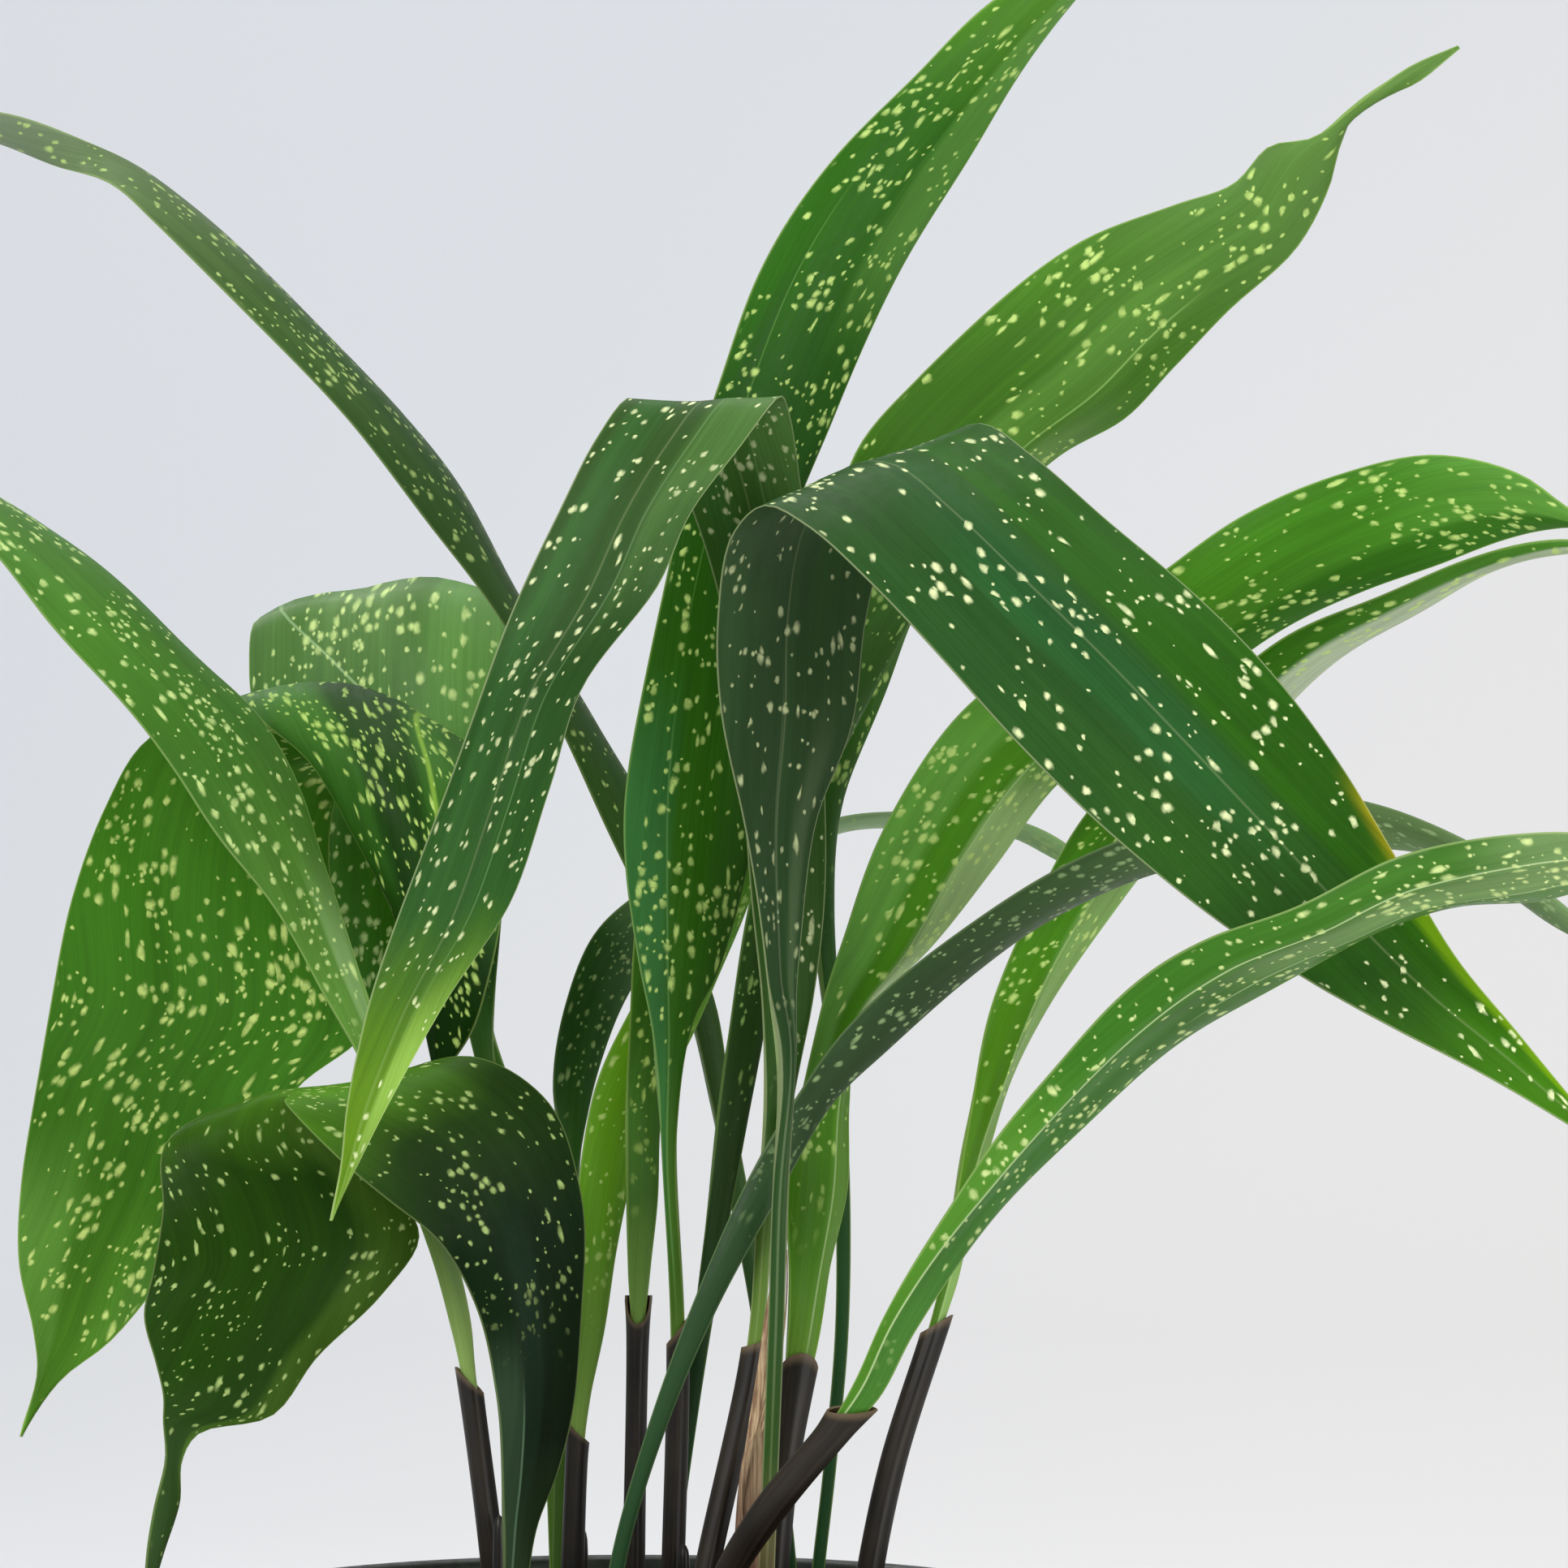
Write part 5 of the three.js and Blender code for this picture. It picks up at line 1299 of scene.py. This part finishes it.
def plastic_finish():
    """Almost black with a green cast, streaked by the mould and dusty towards the rim."""
    finish, tree, shader = new_finish("pot plastic")
    place = object_place(tree)
    height = add_node(tree, "SeparateXYZ", {0: place}).outputs[2]
    streaks = cloud(tree, stretched(tree, place, (1, 1, 0.06)), 0.006, 3.0)
    dust = cloud(tree, place, 0.02, 5.0, 0.65)
    scuffs = cloud(tree, stretched(tree, place, (1, 1, 4)), 0.004, 4.0)
    body = blend_colours(tree, spread(tree, streaks, 0.4, 0.7), colour(19, 25, 18), colour(31, 41, 29))
    near_rim = calculate(tree, "MULTIPLY_ADD", spread(tree, height, DUSTY_FROM, DUSTY_AT), 0.7, 0.3)
    dusty = times(tree, times(tree, spread(tree, dust, 0.5, 0.75), 0.35), near_rim)
    body = blend_colours(tree, dusty, body, colour(98, 108, 66))
    rough = calculate(tree, "MULTIPLY_ADD", dusty, 0.8, spread(tree, scuffs, 0.35, 0.7, 0.34, 0.5))
    relief = calculate(tree, "MULTIPLY_ADD", scuffs, 0.4, streaks)
    dress(tree, shader, body, rough, relief, 0.15, 0.0005)
    shader.inputs["Specular IOR Level"].default_value = PLASTIC_SHINE
    return finish


settle(pot, plastic_finish(), "pot")
print("pot plastic ready")

# %% [markdown]
# ## The compost
#
# Potting bark for a plant like this is a dark crumb with chips of bark on top. The bed is a round
# piece whose top rings are lifted by a cloud of noise. The chips are one bevelled chip in three
# shapes, copied by a seeded draw, laid flat to steep, and kept off the stalks.

# %% The compost bed
SOIL_EDGE = 186
SOIL_SHOULDER = 190
SOIL_MIDDLE = 194
SOIL_SIDES = 120
SOIL_RINGS = 46
GAP = 0.3
LUMPS_IN_METRE = 160
CRUMBS_IN_METRE = 900
LUMP_HEIGHT = 1.6
CRUMB_HEIGHT = 0.5
SOIL_SINK = 1.2


def soil_height(radius):
    """Level in the middle and lower towards the pot's wall."""
    edge = inner_radius(SOIL_EDGE)
    heights = [SOIL_MIDDLE, SOIL_MIDDLE, SOIL_SHOULDER, SOIL_EDGE]
    return np.interp(radius, [0, edge * 0.4, edge * 0.8, edge], heights)


def make_soil():
    edge = inner_radius(SOIL_EDGE) - GAP
    profile = [(inner_radius(FLOOR + 1) - GAP, FLOOR + 1)]
    profile += [(r, soil_height(r)) for r in np.linspace(edge, 1, SOIL_RINGS)]
    bed = turned_piece("compost_fine", profile, SOIL_SIDES)
    for point in bed.data.vertices:
        reach = math.hypot(point.co.x, point.co.y)
        if point.co.z > SOIL_EDGE / 2 * MM and reach < (edge - 1) * MM:
            lump = noise.fractal(point.co * LUMPS_IN_METRE, 1.0, 2.0, 4)
            crumb = noise.noise(point.co * CRUMBS_IN_METRE)
            point.co.z += (lump * LUMP_HEIGHT + crumb * CRUMB_HEIGHT - SOIL_SINK) * MM
    return bed


soil = make_soil()
print("compost faces", len(soil.data.polygons))

# %% [markdown]
# ### The bark chips
#
# Composted bark breaks into flat, blunt chips. Each could be modelled by hand. Three bevelled blocks
# with worn corners, stretched and tilted differently each time, look varied enough from this far.

# %% One bark chip
CHIP_SHAPES = {"chip_a": (1.0, 0.7, 0.28), "chip_b": (1.1, 0.5, 0.22), "chip_c": (0.8, 0.75, 0.4)}
CHIP_BEVEL = 0.09
CHIP_WEAR = 0.07


def make_chip(name, shape, draw):
    """One bark chip about a unit across, with broken corners."""
    bpy.ops.object.select_all(action="DESELECT")
    bpy.ops.mesh.primitive_cube_add(size=1)
    chip = bpy.context.object
    chip.name = name
    bpy.ops.transform.resize(value=shape)
    bpy.ops.object.transform_apply(scale=True)
    bpy.ops.object.mode_set(mode="EDIT")
    bpy.ops.mesh.select_all(action="SELECT")
    bpy.ops.mesh.bevel(offset=CHIP_BEVEL, segments=1, affect="EDGES")
    bpy.ops.object.mode_set(mode="OBJECT")
    for point in chip.data.vertices:
        point.co += Vector([draw.uniform(-CHIP_WEAR, CHIP_WEAR) for _ in range(3)])
    return chip


draw = random.Random(7)
kinds = [make_chip(name, shape, draw) for name, shape in CHIP_SHAPES.items()]
print(len(kinds), "kinds of chip")

# %% [markdown]
# ### The scattered chips
#
# Chips lie thickest between the stalks and lean on each other. Each is placed by the draw, made
# smaller where a stalk is near, and left out where it would touch one. They could be dropped and
# left to settle, but the draw gives the same bed every time.

# %% The scattered chips
CHIPS = 1500
CHIP_SIZE = 7.5
SMALLEST, LARGEST = 0.35, 1.25
CROWDED = 0.6
CUT_DOWN = 0.35
TOO_CLOSE = 0.5
STALK_ROOM = 1.5
WALL_ROOM = 4
LEAN = 0.35
SUNK, RAISED = -0.12, 0.1


def stalk_spots(height):
    """Where each stalk stands at this height, and the radius to keep free round it."""
    found = []
    for leaf in LEAVES.values():
        middle, _, _, _, width = stalk_frames(leaf, np.array([height]))
        wide = width[0] + leaf.get("sheath_room", SHEATH_ROOM)
        found.append((middle[0][0], middle[0][1], wide / 2 + STALK_ROOM))
    return found


def near_stalk(x, y, reach, spots):
    return any(math.hypot(x - a, y - b) < r + reach for a, b, r in spots)


def place_chip(kind, x, y, size, draw):
    """The points of one chip, stretched, tilted and laid on the bed."""
    lean = Euler((draw.gauss(0, LEAN), draw.gauss(0, LEAN), draw.uniform(0, 2 * math.pi)))
    height = float(soil_height(math.hypot(x, y))) + size * draw.uniform(SUNK, RAISED)
    stretch = [draw.uniform(0.7, 1.2), draw.uniform(0.6, 1.2), draw.uniform(0.7, 1.2)]
    points = []
    for point in kind.data.vertices:
        placed = Vector([a * b for a, b in zip(point.co, stretch)]) * size * MM
        placed.rotate(lean)
        points.append(placed + Vector((x, y, height)) * MM)
    return points


def scatter_chips(kinds, count, draw):
    spots = stalk_spots(SOIL_MIDDLE)
    points, faces = [], []
    edge = inner_radius(SOIL_EDGE) - WALL_ROOM
    while count:
        reach, turn = edge * math.sqrt(draw.random()), draw.uniform(0, 2 * math.pi)
        x, y = reach * math.cos(turn), reach * math.sin(turn)
        size = CHIP_SIZE * draw.uniform(SMALLEST, LARGEST)
        if near_stalk(x, y, size * CROWDED, spots):
            size *= CUT_DOWN
        if reach + size > edge or near_stalk(x, y, size * TOO_CLOSE, spots):
            continue
        kind = draw.choice(kinds)
        faces += [[len(points) + i for i in face.vertices] for face in kind.data.polygons]
        points += place_chip(kind, x, y, size, draw)
        count -= 1
    mesh = bpy.data.meshes.new("bark_chips")
    mesh.from_pydata(points, [], faces)
    chips = bpy.data.objects.new("bark_chips", mesh)
    bpy.context.scene.collection.objects.link(chips)
    return chips


chips = scatter_chips(kinds, CHIPS, draw)
for kind in kinds:
    bpy.data.objects.remove(kind)
print("chip faces", len(chips.data.polygons))

# %% [markdown]
# ### The compost's finish
#
# The bark is dark brown and damp in places, with crumbs that are almost black. One finish serves
# twice: dark and fine for the bed, lighter and redder for the chips that have dried on top.

# %% The compost's finish
def bark_finish(name, dark, light, size):
    finish, tree, shader = new_finish(name)
    place = object_place(tree)
    crumbs = cloud(tree, place, size, 6.0, 0.7)
    patch = cloud(tree, place, size * 3, 3.0)
    damp = cloud(tree, place, 0.03, 2.0)
    body = blend_colours(tree, spread(tree, patch, 0.35, 0.65), dark, light)
    body = blend_colours(tree, spread(tree, crumbs, 0.35, 0.6), colour(30, 20, 14), body)
    dress(tree, shader, body, spread(tree, damp, 0.35, 0.65, 0.62, 0.92), crumbs, 0.8, 0.001)
    return finish


bed_finish = bark_finish("compost finish", colour(52, 36, 26), colour(78, 52, 36), 0.004)
settle(soil, bed_finish, "soil")
chip_finish = bark_finish("bark finish", colour(72, 44, 30), colour(134, 86, 58), 0.005)
settle(chips, chip_finish, "soil")
print("compost ready")

# %% [markdown]
# ## The small scales and the creeping stem
#
# Pointed scales stand at the surface where new leaves will come. The creeping stem lies in the
# compost and isn't seen, so its solid keeps its shape and only gets a finish.

# %% The small scales
BUDS = [(-14.8, 31, 212), (16.6, -16.5, 211), (28, -31, 211), (-40.2, -30, 221)]
BUD_RADIUS = 2
BUD_FOOT = 178
BUD_SIDES = 24
BUD_TIP = 0.15
BUD_TAPER = [(1, 10), (0.97, 7), (0.9, 4), (0.72, 2), (0.42, 0.7)]


def make_bud(name, middle, top):
    """A small pointed scale, with a map of its length and the way round it."""
    profile = [(BUD_RADIUS, BUD_FOOT)]
    profile += [(BUD_RADIUS * share, top - below) for share, below in BUD_TAPER]
    bud = turned_piece(name, profile + [(BUD_TIP, top)], BUD_SIDES, middle)
    corners = bud.data.uv_layers.new(name="leaf_map").data
    for corner in bud.data.loops:
        at = bud.data.vertices[corner.vertex_index].co
        turn = math.atan2(at.y - middle[1] * MM, at.x - middle[0] * MM)
        corners[corner.index].uv = (turn * BUD_RADIUS * MM, at.z)
    rise = np.array([(v.co.z / MM - BUD_FOOT) / (top - BUD_FOOT) for v in bud.data.vertices])
    keep_values(bud.data, share=rise * 0.9)
    return bud


for number, (across, depth, top) in enumerate(BUDS):
    middle = sighted(across, SOIL_MIDDLE, depth)[:2]
    bud = make_bud(f"bud_scale_{number + 1}_fine", middle, top)
    settle(bud, scale_finish, f"bud_scale_{number + 1}")
print("small scales", len(BUDS))

# %% [markdown]
# ### The creeping stem
#
# The stem is pale brown and knotty. It is the one piece that keeps the mesh of its solid, because
# the compost hides it and finer rings would never be seen.

# %% The creeping stem
def stem_finish():
    finish, tree, shader = new_finish("creeping stem finish")
    knots = cloud(tree, object_place(tree), 0.006, 4.0)
    body = blend_colours(tree, spread(tree, knots, 0.35, 0.65), colour(120, 100, 66), colour(176, 152, 106))
    dress(tree, shader, body, spread(tree, knots, 0.3, 0.7, 0.6, 0.8), knots, 0.5, 0.001)
    return finish


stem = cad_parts["rhizome"]
stem_look = stem_finish()
if stem.data.materials:
    stem.data.materials[0] = stem_look
else:
    stem.data.materials.append(stem_look)
print("creeping stem ready")

# %% [markdown]
# ## The studio
#
# The picture has a plain pale grey ground, lit a little bluer at the top left and warmer at the
# bottom right, and that fall of light is painted into the backdrop as a gradient. A floor that sweeps
# up into a wall has no line where they meet. The wall stands well behind and has a lamp of its own.
# Large soft lights stand in front at the left, at the right, above and behind, so that the leaves
# shine softly and cast faint shadows.

# %% The floor and the wall
WALL_AT = 6.8
WALL_TOP_AT = 5.0
SWEEP = 2.6
SWEEP_STEPS = 24
STAGE_HALF = 7.0


def make_backdrop():
    turn = np.linspace(-math.pi / 2, 0, SWEEP_STEPS)
    line = [(-STAGE_HALF, 0.0)]
    line += [(WALL_AT - SWEEP + SWEEP * math.cos(a), SWEEP + SWEEP * math.sin(a)) for a in turn]
    line += [(WALL_AT, WALL_TOP_AT)]
    across = np.linspace(-STAGE_HALF, STAGE_HALF, 3)
    places = np.array([[(x, y, z) for x in across] for y, z in line])
    backdrop, _, _ = rolled_grid("backdrop", len(across), len(line), places)
    bpy.ops.object.shade_smooth()
    return backdrop


def backdrop_finish():
    """Pale grey, with painted light: bluer up and to the left, warmer down and to the right."""
    finish, tree, shader = new_finish("backdrop")
    place = object_place(tree)
    split = add_node(tree, "SeparateXYZ", {0: place})
    # The gradient across the backdrop is painted light.
    down = calculate(tree, "MULTIPLY_ADD", split.outputs[2], -1.0, split.outputs[0])
    body = blend_colours(tree, spread(tree, down, -1.4, 1.1), colour(208, 211, 215), colour(226, 224, 222))
    paper = times(tree, cloud(tree, place, 0.4, 2.0), 0.06)
    body = blend_colours(tree, paper, body, colour(200, 204, 210))
    tree.links.new(body, shader.inputs["Base Color"])
    shader.inputs["Roughness"].default_value = 0.9
    shader.inputs["Specular IOR Level"].default_value = 0.1
    return finish


backdrop = make_backdrop()
backdrop.data.materials.append(backdrop_finish())
print("backdrop ready")

# %% [markdown]
# ### The lights
#
# The leaves show broad, soft highlights and the pot casts hardly a shadow, so the light came from
# large soft boxes. Square lamps do the same. A picture of a studio could light it all round, but
# lamps are easier to move until each leaf has its shine.

# %% The lights
LIGHTS = [
    ("key", (-1.2, -2.0, 1.7), 1.5, 46, (1.0, 0.99, 0.97)),
    ("fill", (1.7, -1.9, 0.6), 1.6, 26, (1.0, 1.0, 1.0)),
    ("top", (0.1, 0.1, 2.5), 1.6, 22, (1.0, 1.0, 1.0)),
    ("back", (-1.1, 1.2, 1.7), 1.0, 10, (1.0, 1.0, 1.0)),
]
AIM = (0.05, 0.0, 0.42)
WALL_LIGHT = ("wall", (0.0, 3.4, 4.6), 4.0, 142, (1.0, 1.0, 1.0))
WALL_AIM = (0.3, WALL_AT, 0.4)
AIR_COLOUR = (0.97, 0.98, 1.0, 1)
AIR_STRENGTH = 0.5


def hang_light(name, place, size, power, tint, aim):
    """A square soft light that faces the point `aim`."""
    bpy.ops.object.light_add(type="AREA", location=place)
    lamp = bpy.context.object
    lamp.name = name
    lamp.data.size = size
    lamp.data.energy = power
    lamp.data.color = tint
    lamp.rotation_euler = (Vector(aim) - Vector(place)).to_track_quat("-Z", "Y").to_euler()


for light in LIGHTS:
    hang_light(*light, AIM)
hang_light(*WALL_LIGHT, WALL_AIM)
world = bpy.data.worlds.new("studio air")
bpy.context.scene.world = world
world.use_nodes = True
air = world.node_tree.nodes["Background"]
air.inputs[0].default_value = AIR_COLOUR
air.inputs[1].default_value = AIR_STRENGTH
bpy.context.scene.view_settings.view_transform = "Standard"
bpy.context.scene.view_settings.look = "None"
print(len(LIGHTS) + 1, "lights")
